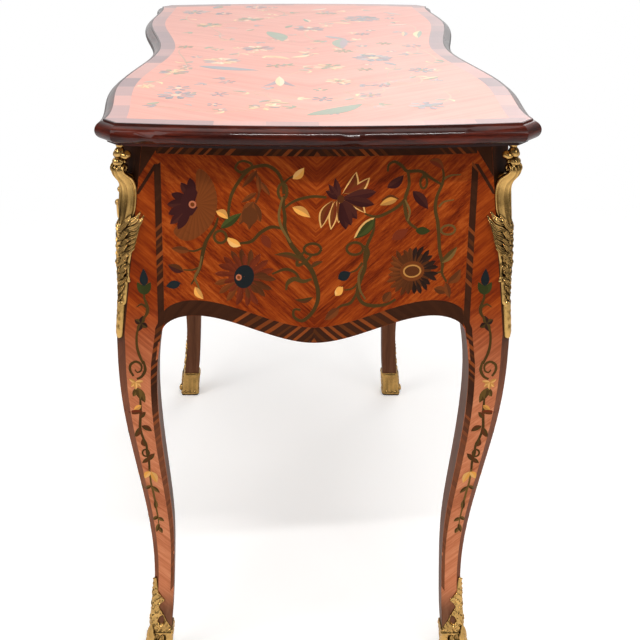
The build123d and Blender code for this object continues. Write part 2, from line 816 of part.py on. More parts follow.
def leg_parts(carcass):
    """Legs mortised for the aprons, with their mounts and sabots."""
    wood = leg()
    tenoned = ["end_apron_right", "end_apron_left", "back_apron", "front_top_rail"]
    parts = {}
    for corner, solid in four_corners(wood).items():
        for name in tenoned:
            solid = solid - carcass[name][0]
        parts[f"leg_{corner}"] = [solid]
    for corner, solid in four_corners(corner_mount(wood)).items():
        parts[f"corner_mount_{corner}"] = [solid]
    for corner, solid in four_corners(sabot(wood)).items():
        parts[f"sabot_{corner}"] = [solid]
    return parts


def drawer_parts(ring, skin):
    """Two deep side drawers and the shallow one over the kneehole."""
    right = fitted_drawer("drawer_right", bay_x, post_in_x, side_floor, ring, skin)
    parts = dict(right)
    parts.update(mirrored_drawer(right, "drawer_left"))
    parts.update(fitted_drawer("drawer_middle", -knee_half, knee_half, mid_floor, ring, skin))
    return parts


def build():
    """Write one STEP file for each node."""
    os.makedirs("parts", exist_ok=True)
    block_solid = frieze_block(0)
    core = frieze_core()
    ring = block_solid - core
    skin = frieze_block(plate) - block_solid
    parts = top_parts()
    carcass = carcass_parts(block_solid, ring, core)
    parts.update(carcass)
    parts.update(leg_parts(carcass))
    parts.update(drawer_parts(ring, skin))
    for name, pieces in parts.items():
        solids = [solid for piece in pieces for solid in piece.solids()]
        shape = solids[0] if len(solids) == 1 else Compound(children=solids)
        export_step(shape, f"parts/{name}.step")


build()
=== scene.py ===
import math
import random

import bmesh
import bpy
from mathutils import Euler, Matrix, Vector, noise
from mathutils.bvhtree import BVHTree


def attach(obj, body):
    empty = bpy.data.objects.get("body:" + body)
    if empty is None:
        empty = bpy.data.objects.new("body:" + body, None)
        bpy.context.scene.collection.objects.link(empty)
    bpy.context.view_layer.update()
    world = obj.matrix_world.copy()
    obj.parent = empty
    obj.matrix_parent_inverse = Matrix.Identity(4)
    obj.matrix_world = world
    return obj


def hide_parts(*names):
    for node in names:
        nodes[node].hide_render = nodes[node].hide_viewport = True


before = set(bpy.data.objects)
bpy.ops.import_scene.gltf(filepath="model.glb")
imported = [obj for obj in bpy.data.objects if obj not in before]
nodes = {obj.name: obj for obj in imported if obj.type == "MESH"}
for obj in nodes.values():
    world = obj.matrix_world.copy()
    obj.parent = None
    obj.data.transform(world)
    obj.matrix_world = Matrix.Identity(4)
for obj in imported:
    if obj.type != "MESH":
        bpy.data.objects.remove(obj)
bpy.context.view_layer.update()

# Looks of a Louis XV style writing desk. Blender units are metres; sizes below are in
# millimetres and turned into metres where a mesh is made.
MM = 0.001


def new_object(name, data):
    """Object that shows some data, linked to the scene."""
    made = bpy.data.objects.new(name, data)
    bpy.context.scene.collection.objects.link(made)
    return made


def aim(thing, place, rotation):
    """Stand a camera or lamp at a place with a rotation."""
    thing.location = place
    thing.rotation_mode = "QUATERNION"
    thing.rotation_quaternion = rotation


# ---------------------------------------------------------------- camera
IMAGE = 640.0                         # pixels each way
FOCAL_PIXELS = 1250.0
OPTICAL_CENTRE = (251.8, 360.9)       # where the optical axis meets the image
CAMERA_AT = (1.9355, -0.0710, 1.0875)
CAMERA_YAW = math.radians(-0.23)      # from looking along -X
CAMERA_PITCH = math.radians(23.03)    # downward
CAMERA_ROLL = math.radians(-0.08)
SENSOR = 36.0


def make_camera():
    """Camera at the end of the desk, above it, with a small shift for the framing."""
    data = bpy.data.cameras.new("camera")
    data.sensor_width = SENSOR
    data.lens = FOCAL_PIXELS * SENSOR / IMAGE
    data.shift_x = (IMAGE / 2 - OPTICAL_CENTRE[0]) / IMAGE
    data.shift_y = (OPTICAL_CENTRE[1] - IMAGE / 2) / IMAGE
    data.clip_end = 100.0
    camera = new_object("camera", data)
    level = math.cos(CAMERA_PITCH)
    ahead = Vector((-math.cos(CAMERA_YAW) * level, math.sin(CAMERA_YAW) * level,
                    -math.sin(CAMERA_PITCH)))
    roll = Euler((0, 0, CAMERA_ROLL)).to_quaternion()
    aim(camera, CAMERA_AT, ahead.to_track_quat("-Z", "Y") @ roll)
    bpy.context.scene.camera = camera


# ---------------------------------------------------------------- light and floor
LAMPS = [
    # name, place, length, width, watts: all aim at the middle of the desk
    ("key", (2.6, -2.4, 2.9), 2.4, 2.4, 52.0),
    ("fill", (2.8, 2.6, 2.0), 1.8, 1.8, 30.0),
    ("rear", (-2.8, 1.0, 2.6), 1.6, 1.6, 25.0),
    ("ceiling", (0.2, 0.0, 3.4), 2.2, 2.2, 33.0),
    # narrow ones for the glints on moulding and gilt
    ("strip_front", (1.9, 0.25, 2.3), 1.3, 0.06, 26.0),
    ("strip_side", (0.9, -2.3, 1.7), 1.5, 0.06, 12.0),
]
AIM = Vector((0.1, 0.0, 0.5))
WORLD_LIGHT = 0.32
ROOM_LIGHT = 0.10                      # what reflections see of the room
BACKDROP_FROM, BACKDROP_FULL = -0.35, -0.80   # how far along X the white backdrop begins


def make_lamps():
    """Soft area lamps round the desk."""
    for name, place, long, wide, watts in LAMPS:
        data = bpy.data.lights.new(name, "AREA")
        data.shape = "RECTANGLE"
        data.size, data.size_y = long, wide
        data.energy = watts
        aim(new_object(name, data), place, (AIM - Vector(place)).to_track_quat("-Z", "Y"))


# ---------------------------------------------------------------- node helpers
class Tree:
    """Short calls for building a node tree."""

    def __init__(self, owner):
        self.tree = owner.node_tree
        self.tree.nodes.clear()

    def add(self, kind, inputs=(), **settings):
        """New node; inputs is a list of (socket name or number, value or socket)."""
        made = self.tree.nodes.new("ShaderNode" + kind)
        for key, value in settings.items():
            setattr(made, key, value)
        for key, value in inputs:
            if isinstance(value, bpy.types.NodeSocket):
                self.tree.links.new(value, made.inputs[key])
            else:
                made.inputs[key].default_value = value
        return made

    def math(self, operation, a, b=0.0):
        """One arithmetic step on sockets or numbers."""
        return self.add("Math", [(0, a), (1, b)], operation=operation).outputs[0]

    def ramp(self, factor, stops):
        """Colour ramp through (place, colour) stops."""
        made = self.add("ValToRGB", [("Fac", factor)])
        elements = made.color_ramp.elements
        while len(elements) < len(stops):
            elements.new(0.5)
        for element, (place, colour) in zip(elements, stops):
            element.position = place
            element.color = (*colour, 1.0)
        return made.outputs["Color"]

    def noise(self, vector, scale, detail=4.0, rough=0.55):
        """Noise value at a vector."""
        made = self.add("TexNoise", [("Vector", vector), ("Scale", scale), ("Detail", detail),
                                     ("Roughness", rough)])
        return made.outputs["Fac"]

    def mix(self, factor, a, b, blend="MIX"):
        """Mixed colour."""
        made = self.add("Mix", [(0, factor)], data_type="RGBA", blend_type=blend)
        for key, value in ((6, a), (7, b)):
            if isinstance(value, bpy.types.NodeSocket):
                self.tree.links.new(value, made.inputs[key])
            else:
                made.inputs[key].default_value = (*value, 1.0)
        return made.outputs[2]

    def ease(self, value, start, end, low=0.0, high=1.0):
        """Value eased from low to high between start and end."""
        made = self.add("MapRange", [("Value", value), ("From Min", start), ("From Max", end),
                                     ("To Min", low), ("To Max", high)],
                        interpolation_type="SMOOTHSTEP")
        return made.outputs[0]

    def seen_plain(self):
        """1 for rays straight from the camera or through something, otherwise 0."""
        rays = self.add("LightPath").outputs
        return self.math("MAXIMUM", rays["Is Camera Ray"], rays["Is Transmission Ray"])

    def glow(self, strength):
        """White emission."""
        return self.add("Emission", [("Color", (1, 1, 1, 1)), ("Strength", strength)]).outputs[0]


def make_world():
    """White to the camera; in reflections a white backdrop behind the desk in a dim room."""
    world = bpy.data.worlds.new("studio")
    world.use_nodes = True
    t = Tree(world)
    white = t.seen_plain()
    ahead = t.add("SeparateXYZ", [(0, t.add("TexCoord").outputs["Generated"])]).outputs[0]
    behind = t.ease(ahead, BACKDROP_FROM, BACKDROP_FULL, ROOM_LIGHT)
    glossy = t.add("LightPath").outputs["Is Glossy Ray"]
    level = t.math("MULTIPLY", glossy, t.math("SUBTRACT", behind, WORLD_LIGHT))
    level = t.math("ADD", level, WORLD_LIGHT)
    strength = t.math("ADD", level, t.math("MULTIPLY", white, t.math("SUBTRACT", 1.0, level)))
    light = t.add("Background", [("Color", (1, 1, 1, 1)), ("Strength", strength)])
    t.add("OutputWorld", [("Surface", light.outputs[0])])
    bpy.context.scene.world = world


FLOOR_HALF = 14.0
FLOOR_COLOUR = (0.90, 0.89, 0.88)
FLOOR_GLOW = 0.28                     # only to the camera, straight or through something
FADE_START, FADE_END = 0.75, 2.2      # metres from the desk: shadow floor to plain white


def make_floor():
    """Pale floor that keeps the shadow and runs out to white."""
    mesh = bpy.data.meshes.new("floor")
    h = FLOOR_HALF
    mesh.from_pydata([(-h, -h, 0), (h, -h, 0), (h, h, 0), (-h, h, 0)], [], [(0, 1, 2, 3)])
    floor = new_object("floor", mesh)
    material, t = new_material("floor")
    white = t.seen_plain()
    away = t.add("VectorMath", [(0, object_place(t))], operation="LENGTH").outputs["Value"]
    fade = t.ease(away, FADE_START, FADE_END)
    matt = t.add("BsdfDiffuse", [("Color", (*FLOOR_COLOUR, 1.0))])
    near = t.add("AddShader", [(0, matt.outputs[0]), (1, t.glow(t.math("MULTIPLY", white, FLOOR_GLOW)))])
    both = t.add("MixShader", [(0, t.math("MULTIPLY", fade, white)), (1, near.outputs[0]),
                               (2, t.glow(1.0))])
    t.add("OutputMaterial", [("Surface", both.outputs[0])])
    mesh.materials.append(material)


# ---------------------------------------------------------------- materials
TULIP = [(0.0, (0.068, 0.008, 0.001)), (0.36, (0.158, 0.019, 0.002)), (0.62, (0.235, 0.036, 0.003)),
         (1.0, (0.34, 0.068, 0.009))]
KING = [(0.0, (0.020, 0.008, 0.004)), (0.50, (0.040, 0.014, 0.005)), (0.57, (0.17, 0.042, 0.010)),
        (1.0, (0.30, 0.080, 0.020))]
LEG = [(0.0, (0.29, 0.080, 0.031)), (0.45, (0.46, 0.150, 0.066)), (1.0, (0.61, 0.245, 0.118))]
INNER = [(0.0, (0.060, 0.022, 0.010)), (0.5, (0.125, 0.048, 0.024)), (1.0, (0.22, 0.095, 0.050))]
EDGE = [(0.0, (0.018, 0.007, 0.004)), (0.6, (0.045, 0.016, 0.008)), (1.0, (0.10, 0.034, 0.014))]
LOW_EDGE = [(0.0, (0.10, 0.030, 0.012)), (0.6, (0.19, 0.058, 0.024)), (1.0, (0.28, 0.095, 0.042))]
MAHOGANY = [(0.0, (0.008, 0.001, 0.001)), (0.5, (0.028, 0.003, 0.001)), (1.0, (0.10, 0.011, 0.003))]
OAK = [(0.0, (0.22, 0.130, 0.060)), (0.5, (0.40, 0.260, 0.130)), (1.0, (0.55, 0.380, 0.210))]
TOP = [(0.0, (0.60, 0.188, 0.132)), (0.45, (0.73, 0.285, 0.208)), (1.0, (0.83, 0.385, 0.290))]
CROSS = [(0.0, (0.25, 0.165, 0.175)), (0.5, (0.42, 0.250, 0.240)), (1.0, (0.74, 0.350, 0.280))]
SHADE = [(0.0, (0.66, 0.66, 0.66)), (0.5, (0.98, 0.98, 0.98)), (1.0, (1.0, 1.0, 1.0))]
NO_TURN = (0.0, 0.0, 0.0)
PANEL_CHEVRON = math.radians(-42)
BAND_CHEVRON = math.radians(47)
TOP_CHEVRON = math.radians(-38)
LEG_PALE_Z, LEG_RICH_Z = 0.40, 0.56    # lower legs are paler than the posts
FOOT_DARK_Z, FOOT_CLEAR_Z = 0.075, 0.125   # and darken again inside the sabots
PANEL_PERIOD = 3.0                     # spacing of the dark grain streaks, mm
GRAIN_MIDDLE = 0.575                   # usual value of the grain
GRAIN_MIX = (0.45, 0.35, 0.35)         # shares of its figure, fine lines and slow drift
GLOSS = 0.06                           # satin polish of the veneered sides
HAZE_ROUGH = 0.35
# the writing surface: shinier, with a pale bloom at a grazing look
TOP_POLISH = dict(gloss=0.4, coat=0.08, coat_rough=0.3, haze=0.34)
TOP_ROUGH, INLAY_ROUGH = 0.42, 0.36
WEAR, WEAR_SCALE = 0.16, 14.0          # uneven roughness: range and patches per metre
GRAIN_BUMP, METAL_BUMP, BUMP_DEPTH = 0.12, 0.25, 0.0004
METAL_WEAR, MOTTLE_SCALE, PATCH_SCALE, PATCH_GAIN = 0.2, 260.0, 60.0, 0.9
# the metals' hollows take tarnish and painted shade: their reach, and the level where the darkening begins
HOLLOW_TARNISH_AND_SHADE_REACH, TARNISH_AND_SHADE_FROM = 0.006, 0.36
SEGMENT = 0.060                        # length of a crossband piece, metres
CROSS_END_X = 0.493                    # the end borders lie beyond this
END_SEED = 40.5                        # sets the pieces of the end borders apart from the long ones
CROSS_CHANCE, CROSS_GRAIN, CROSS_DARKER = 0.75, 0.35, 0.06
# the lesser of a leg face's outward turns along X and Y: below on inner faces, above on the arris
INWARD, CANTED = -0.3, 0.4


def object_place(t):
    """Position in the shared frame."""
    return t.add("TexCoord").outputs["Object"]


def folded(t, place, fold):
    """Position with one axis mirrored at each centre in turn."""
    if fold is None:
        return place
    axis, centres = fold
    split = t.add("SeparateXYZ", [(0, place)]).outputs
    value = split[axis]
    for centre in centres:
        value = t.math("ABSOLUTE", t.math("SUBTRACT", value, centre * MM))
    parts = [(k, value if k == axis else split[k]) for k in range(3)]
    return t.add("CombineXYZ", parts).outputs[0]


def grain(t, place, turn, stretch, period):
    """Value of long streaks: coarse figure, fine lines and a slow drift."""
    mapping = t.add("Mapping", [("Vector", place), ("Rotation", turn)], vector_type="POINT")
    long = t.add("VectorMath", [(0, mapping.outputs[0]), (1, stretch)], operation="MULTIPLY").outputs[0]
    coarse = t.noise(long, 1.0 / (period * MM), 3.0, 0.6)
    fine = t.noise(long, 5.0 / (period * MM), 5.0, 0.7)
    drift = t.noise(long, 0.22 / (period * MM), 2.0, 0.5)
    figure, lines, slow = [t.math("MULTIPLY", part, share)
                           for part, share in zip((coarse, fine, drift), GRAIN_MIX)]
    return t.math("ADD", t.math("ADD", figure, lines), slow), fine


def contrast(t, value, gain, middle=GRAIN_MIDDLE):
    """Value spread about its middle."""
    return t.math("ADD", t.math("MULTIPLY", t.math("SUBTRACT", value, middle), gain), 0.5)


def polish(t, colour, fine, rough=0.38, gloss=GLOSS, coat=0.0, coat_rough=0.1, haze=0.0):
    """Waxed surface: colour, uneven roughness and a fine grain relief."""
    wear = t.noise(object_place(t), WEAR_SCALE, 3.0)
    rougher = t.math("ADD", t.math("MULTIPLY", wear, WEAR), rough - WEAR / 2)
    bump = t.add("Bump", [("Height", fine), ("Strength", GRAIN_BUMP), ("Distance", BUMP_DEPTH)])
    shader = t.add("BsdfPrincipled", [("Base Color", colour), ("Roughness", rougher),
                                      ("Specular IOR Level", gloss), ("Normal", bump.outputs[0]),
                                      ("Coat Weight", coat), ("Coat Roughness", coat_rough),
                                      ("Sheen Weight", haze), ("Sheen Roughness", HAZE_ROUGH)])
    t.add("OutputMaterial", [("Surface", shader.outputs[0])])


def new_material(name):
    """Empty node material and its tree."""
    material = bpy.data.materials.new(name)
    material.use_nodes = True
    return material, Tree(material)


def wood(name, stops, fold=None, turn=NO_TURN, stretch=(1, 0.03, 1), period=PANEL_PERIOD, gain=3.6,
         **finish):
    """Polished wood whose grain runs along Y of the turned, folded position."""
    material, t = new_material(name)
    value, fine = grain(t, folded(t, object_place(t), fold), turn, stretch, period)
    polish(t, t.ramp(contrast(t, value, gain), stops), fine, **finish)
    return material


def facing(t):
    """How far a surface faces out along X and along Y, and where it lies."""
    place = t.add("SeparateXYZ", [(0, object_place(t))]).outputs
    normal = t.add("SeparateXYZ", [(0, t.add("NewGeometry").outputs["True Normal"])]).outputs
    out = [t.math("MULTIPLY", normal[k], t.math("SIGN", place[k])) for k in (0, 1)]
    return out, place


def by_face(t):
    """Position whose Y runs across whichever vertical face is seen, mirrored at the middle."""
    out, place = facing(t)
    end_on = t.math("GREATER_THAN", t.math("ABSOLUTE", out[0]), t.math("ABSOLUTE", out[1]))
    other = t.math("SUBTRACT", 1.0, end_on)
    across = t.math("ADD", t.math("MULTIPLY", t.math("ABSOLUTE", place[1]), end_on),
                    t.math("MULTIPLY", t.math("ABSOLUTE", place[0]), other))
    depth = t.math("ADD", t.math("MULTIPLY", place[0], end_on), t.math("MULTIPLY", place[1], other))
    return t.add("CombineXYZ", [(0, depth), (1, across), (2, place[2])]).outputs[0], out, place


def leg_finish():
    """Leg: chevron posts growing paler downward, plain inner faces and a dark canted arris."""
    material, t = new_material("leg_wood")
    along, out, place = by_face(t)
    value, fine = grain(t, along, (PANEL_CHEVRON, 0, 0), (1, 0.03, 1), PANEL_PERIOD)
    spread = contrast(t, value, 3.0)
    height = t.ease(place[2], LEG_PALE_Z, LEG_RICH_Z)
    outer = t.mix(height, t.ramp(spread, LEG), t.ramp(spread, TULIP))
    plain, _ = grain(t, along, NO_TURN, (1, 1, 0.03), 9.0)
    dim = contrast(t, plain, 2.2)
    foot = t.ease(place[2], FOOT_CLEAR_Z, FOOT_DARK_Z)
    least = t.math("MINIMUM", out[0], out[1])
    inward = t.math("MAXIMUM", t.math("LESS_THAN", least, INWARD), foot)
    arris = t.math("GREATER_THAN", least, CANTED)
    colour = t.mix(inward, outer, t.ramp(dim, INNER))
    colour = t.mix(arris, colour, t.mix(height, t.ramp(dim, LOW_EDGE), t.ramp(dim, EDGE)))
    polish(t, colour, fine)
    return material


def cross_finish():
    """Crossband of the top: short pieces of changing tint, grain across the border."""
    material, t = new_material("top_crossband")
    place = t.add("SeparateXYZ", [(0, object_place(t))]).outputs
    at_end = t.math("GREATER_THAN", t.math("ABSOLUTE", place[0]), CROSS_END_X)
    along = t.math("ADD", t.math("MULTIPLY", place[1], at_end),
                   t.math("MULTIPLY", place[0], t.math("SUBTRACT", 1.0, at_end)))
    piece = t.math("FLOOR", t.math("DIVIDE", along, SEGMENT))
    chance = t.add("TexWhiteNoise", [("W", t.math("ADD", piece, t.math("MULTIPLY", at_end, END_SEED)))],
                   noise_dimensions="1D").outputs["Value"]
    lines = t.add("CombineXYZ", [(0, along), (1, 0.0), (2, 0.0)]).outputs[0]
    value, fine = grain(t, lines, NO_TURN, (1, 1, 1), 5.0)
    spread = contrast(t, value, 1.5)
    level = t.math("ADD", t.math("MULTIPLY", chance, CROSS_CHANCE), t.math("MULTIPLY", spread, CROSS_GRAIN))
    polish(t, t.ramp(t.math("SUBTRACT", level, CROSS_DARKER), CROSS), fine, TOP_ROUGH, **TOP_POLISH)
    return material


def inlay_finish(name, **finish):
    """Inlaid woods: each piece's tint, streaked by its own grain."""
    material, t = new_material(name)
    tint = t.add("Attribute", attribute_name="tint").outputs["Color"]
    value, fine = grain(t, object_place(t), (0.6, 0.4, 0.3), (1, 0.1, 1), 5.0)
    streak = t.ramp(contrast(t, value, 2.2, 0.5), SHADE)
    polish(t, t.mix(1.0, tint, streak, "MULTIPLY"), fine, INLAY_ROUGH, **finish)
    return material


def metal(name, colour, rough, tarnish_and_shade, hollow_tarnish_and_shade_gain=1.5):
    """Cast metal darkened by tarnish patches and by tarnish and painted shade in its hollows, with a
    slightly uneven polish.
    """
    material, t = new_material(name)
    place = object_place(t)
    mottle = t.noise(place, MOTTLE_SCALE, 5.0, 0.65)
    patch = t.noise(place, PATCH_SCALE, 3.0)
    # ambient occlusion finds the hollows, which get tarnish and painted shade
    hollow_tarnish_and_shade = t.math("SUBTRACT", 1.0, t.add("AmbientOcclusion", [("Distance", HOLLOW_TARNISH_AND_SHADE_REACH)]).outputs["AO"])
    dark = t.math("ADD", t.math("MULTIPLY", hollow_tarnish_and_shade, hollow_tarnish_and_shade_gain), t.math("MULTIPLY", patch, PATCH_GAIN))
    clamped = t.add("Clamp", [("Value", t.math("SUBTRACT", dark, TARNISH_AND_SHADE_FROM))]).outputs[0]
    base = t.mix(clamped, colour, tarnish_and_shade)
    rougher = t.math("ADD", t.math("MULTIPLY", mottle, METAL_WEAR), rough - METAL_WEAR / 2)
    bump = t.add("Bump", [("Height", mottle), ("Strength", METAL_BUMP), ("Distance", BUMP_DEPTH)])
    shader = t.add("BsdfPrincipled", [("Base Color", base), ("Metallic", 1.0), ("Roughness", rougher),
                                      ("Normal", bump.outputs[0])])
    t.add("OutputMaterial", [("Surface", shader.outputs[0])])
    return material


def paint(material, *names):
    """Give CAD nodes a material."""
    for name in names:
        slots = nodes[name].data.materials
        slots.clear()
        slots.append(material)


# ---------------------------------------------------------------- mesh helpers
ROOT2 = math.sqrt(2.0)
SIGNS = {"back_right": (1, 1), "back_left": (-1, 1), "front_right": (1, -1), "front_left": (-1, -1)}


def smooth(t):
    """Ease from 0 to 1."""
    t = min(1.0, max(0.0, t))
    return t * t * (3.0 - 2.0 * t)


def line(value, stops, ease=float):
    """Value through (place, value) stops with rising places, straight unless eased."""
    if value <= stops[0][0]:
        return stops[0][1]
    for (a, left), (b, right) in zip(stops, stops[1:]):
        if value <= b:
            return left + (right - left) * ease((value - a) / (b - a))
    return stops[-1][1]


def curve(value, stops):
    """The same, eased from stop to stop."""
    return line(value, stops, smooth)


def between(before, a, b, after, t):
    """Smooth run from a to b at share t, led by the values before and after them."""
    return 0.5 * (2 * a + (b - before) * t + (2 * before - 5 * a + 4 * b - after) * t * t
                  + (3 * a - before - 3 * b + after) * t ** 3)


def steps(start, end, count):
    """Evenly spaced values, both ends included."""
    return [start + (end - start) * k / (count - 1) for k in range(count)]


def new_piece(name, bm, body, material):
    """Finish a mesh as a piece that rides on a body."""
    bmesh.ops.recalc_face_normals(bm, faces=bm.faces[:])
    mesh = bpy.data.meshes.new(name)
    bm.to_mesh(mesh)
    bm.free()
    for face in mesh.polygons:
        face.use_smooth = True
    mesh.materials.append(material)
    piece = new_object(name, mesh)
    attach(piece, body)
    return piece


def join(bm, a, b, close=False):
    """Faces between two rows of vertices."""
    for k in range(len(a) if close else len(a) - 1):
        j = (k + 1) % len(a)
        bm.faces.new((a[k], a[j], b[j], b[k]))


def join_rows(bm, rows, close=False):
    """Faces from row to row."""
    for a, b in zip(rows, rows[1:]):
        join(bm, a, b, close)


def rim(rows):
    """Vertices round the border of a grid."""
    return (rows[0] + [row[-1] for row in rows[1:]] + rows[-1][-2::-1]
            + [row[0] for row in rows[-2:0:-1]])


def close_shell(bm, outer, inner):
    """Closed shell between two grids."""
    join_rows(bm, outer)
    join_rows(bm, inner)
    join(bm, rim(outer), rim(inner), close=True)


def add_shell(bm, place, rows):
    """Closed shell; each row lists (w, z, outer lift, inner lift)."""
    outer = [[bm.verts.new(place(w, z, high)) for w, z, high, _ in row] for row in rows]
    inner = [[bm.verts.new(place(w, z, low)) for w, z, _, low in row] for row in rows]
    close_shell(bm, outer, inner)


# ---------------------------------------------------------------- leg skin
CARCASS_Z, SPRING_Z, KNEE_Z, ANKLE_Z = 753.0, 510.0, 470.0, 150.0
POST_X, POST_Y, POST_IN_X = 476.0, 230.0, 435.0
FLARE, POST_CANT, KNEE_CANT, ANKLE_CANT = 16.0, 24.0, 11.0, 6.0
SPRING_WIDE, KNEE_WIDE, ANKLE_WIDE, FOOT_WIDE = 57.0, 51.0, 27.5, 28.0
ANKLE_SET, FOOT_SET = 34.0, 22.0
FOLD_EASE = 3.0                        # rounding of the skin's lift over an arris


def lean(z):
    """Outward lean of posts and frieze at height z."""
    return FLARE * (CARCASS_Z - max(z, SPRING_Z)) / (CARCASS_Z - SPRING_Z)


def leg_form(z):
    """Outer faces in X and Y, width and corner cant of a leg at height z."""
    x, y = POST_X + lean(z), POST_Y + lean(z)
    if z >= SPRING_Z:
        t = (z - SPRING_Z) / (CARCASS_Z - SPRING_Z)
        return x, y, x - POST_IN_X, KNEE_CANT + (POST_CANT - KNEE_CANT) * t
    if z >= ANKLE_Z:
        t = min(1.0, max(0.0, (KNEE_Z - z) / (KNEE_Z - ANKLE_Z)))
        back = ANKLE_SET * smooth(t)
        wide = KNEE_WIDE + (ANKLE_WIDE - KNEE_WIDE) * t
        wide += (SPRING_WIDE - KNEE_WIDE) * max(0.0, (z - KNEE_Z) / (SPRING_Z - KNEE_Z))
        return x - back, y - back, wide, KNEE_CANT + (ANKLE_CANT - KNEE_CANT) * t
    t = (1.0 - z / ANKLE_Z) ** 1.5
    back = ANKLE_SET + (FOOT_SET - ANKLE_SET) * t
    return x - back, y - back, ANKLE_WIDE + (FOOT_WIDE - ANKLE_WIDE) * t, ANKLE_CANT


def chased(place):
    """The same placing function with the small unevenness of hand chasing."""
    def rough(w, z, lift):
        if lift > CHASE_FROM:
            lift += CHASE_DEPTH * noise.noise(Vector((w, z, lift)) / CHASE_SIZE)
        return place(w, z, lift)
    return rough


def corner_skin(sx, sy):
    """Placing function: w along the skin from the corner's middle, height z, lift outward."""
    def place(w, z, lift):
        x, y, wide, cant = leg_form(z)
        half = cant / ROOT2
        side = math.copysign(1.0, w)
        run = abs(w)
        face = max(0.0, run - half)
        round_it = max(0.0, face - (wide - cant))
        face -= round_it
        along = min(run, half) + face / ROOT2
        out = -face / ROOT2
        turn = math.pi / 4 * smooth((run - half + FOLD_EASE) / (2 * FOLD_EASE))
        if round_it > 0.0:
            along -= round_it / ROOT2
            out -= round_it / ROOT2
        far = half + wide - cant
        turn += math.pi / 2 * smooth((run - far + FOLD_EASE) / (2 * FOLD_EASE))
        along = side * (along + lift * math.sin(turn))
        out += lift * math.cos(turn)
        px = x - cant / 2 + (out - along) / ROOT2
        py = y - cant / 2 + (out + along) / ROOT2
        return Vector((sx * px, sy * py, z)) * MM
    return place


# ---------------------------------------------------------------- corner mounts
BLADE_THICK, BLADE_GROOVE = 1.8, 0.9


def blade_rows(root, tip, wide, lifts, bend=0.0, lobes=3):
    """Acanthus blade from root to tip (w, z), curling out through its lifts."""
    dw, dz = tip[0] - root[0], tip[1] - root[1]
    long = math.hypot(dw, dz)
    across = (-dz / long, dw / long)
    rows = []
    for t in steps(0.0, 1.0, 15):
        shape = math.sin(math.pi * (0.16 + 0.84 * t)) ** 0.75
        notch = 1.0 - 0.34 * abs(math.sin(math.pi * lobes * t)) ** 2 * (1 - t)
        half = max(0.25, wide * shape * notch)
        sway = bend * math.sin(math.pi * t)
        lift = curve(t, [(0.0, lifts[0]), (0.55, lifts[1]), (1.0, lifts[2])])
        row = []
        for s in steps(-1.0, 1.0, 9):
            w = root[0] + dw * t + across[0] * (half * s + sway)
            z = root[1] + dz * t + across[1] * (half * s + sway) + abs(s) * half * 0.25
            rib = BLADE_GROOVE * (math.cos(2.2 * math.pi * s) - 0.6 * s * s)
            row.append((w, z, lift + rib * min(1.0, 3.0 * (1.05 - t)), lift - BLADE_THICK))
        rows.append(row)
    return rows


TONGUE = [(503.0, 2.0, 3.0), (505.0, 4.2, 5.0), (512.0, 5.0, 6.2), (535.0, 5.4, 6.8), (552.0, 5.6, 6.6)]
PLATE = [(544.5, 3.0, 3.4), (546.5, 6.0, 4.2), (550.0, 7.6, 4.6), (565.0, 8.2, 4.6), (585.0, 8.6, 4.8)]
FLANGE = [(577.0, 12.4, 2.0), (579.0, 12.2, 2.6), (584.0, 10.0, 3.0), (592.0, 9.6, 3.4), (602.0, 10.2, 3.6),
          (612.0, 11.4, 3.8), (622.0, 12.8, 3.8), (632.0, 14.2, 3.8), (640.0, 14.8, 3.6), (648.0, 13.0, 3.4)]
HUSK = [(550.0, 3.0, 6.2), (560.0, 5.0, 7.6), (580.0, 7.0, 8.8), (600.0, 8.6, 9.6), (620.0, 10.0, 10.2),
        (640.0, 11.2, 10.6), (652.0, 11.4, 10.4), (660.0, 9.0, 8.4)]
HUSK_PITCH = 8.6
# the fluted band and its scroll: height, stand-off of its middle, half width, fall to its edges
BAND = [(640, 7.5, 6.0, 5.0), (648, 8.5, 8.5, 6.5), (655, 8.8, 11.0, 7.6), (662, 8.4, 13.0, 7.6),
        (670, 7.8, 14.2, 7.2), (679, 7.4, 14.6, 6.8), (687, 7.8, 14.6, 7.0), (694, 9.4, 14.0, 7.6),
        (700, 12.6, 13.2, 7.6), (705, 17.2, 12.4, 6.6), (710, 21.4, 11.8, 5.0), (715.5, 23.8, 11.4, 3.6),
        (720.5, 22.8, 11.0, 2.8), (724, 18.8, 10.4, 2.2), (722, 14.2, 9.6, 1.8), (717, 12.4, 8.8, 1.6),
        (713.5, 15.2, 8.0, 1.4), (714.5, 18.4, 7.2, 1.2)]
BAND_THICK = 3.0
MOUNT_FOOT = -1.0                      # the mounts are let in this far
FLUTE_DEPTH = 2.6
FILL_TOP = 701.0
LONG_SIDE_LOW, LONG_SIDE_DROP = 0.7, 12.0   # leaves on the long side lie lower
CHASE_DEPTH, CHASE_SIZE = 0.9, 2.4      # small unevenness of the chasing, mm
CHASE_FROM = 1.5                       # it starts this far above the skin


def table_rows(table, count, columns, power=2.4, relief=None):
    """Rows of a swelling body given by (z, half width, relief) stations."""
    widths = [(z, w) for z, w, _ in table]
    reliefs = [(z, r) for z, _, r in table]
    rows = []
    for z in steps(table[0][0], table[-1][0], count):
        half, high = line(z, widths), line(z, reliefs)
        row = []
        for s in steps(-1.0, 1.0, columns):
            full = (1.0 - abs(s) ** power) ** (1.0 / power)
            w, up = half * s, high * full
            if relief:
                w, up = relief(s, z, w, up)
            row.append((w, z, max(up, MOUNT_FOOT + 0.2), MOUNT_FOOT))
        rows.append(row)
    return rows


def husk_relief(s, z, w, up):
    """Overlapping ragged leaflets swept up from the middle."""
    phase = ((z - 0.9 * abs(w) + 1.5 * math.sin(0.9 * z)) / HUSK_PITCH) % 1.0
    ragged = 0.60 + 0.40 * phase ** 0.7
    vein = 0.10 * math.cos(11.0 * s + 0.4 * z)
    return w * (0.80 + 0.26 * phase), up * (ragged + vein)


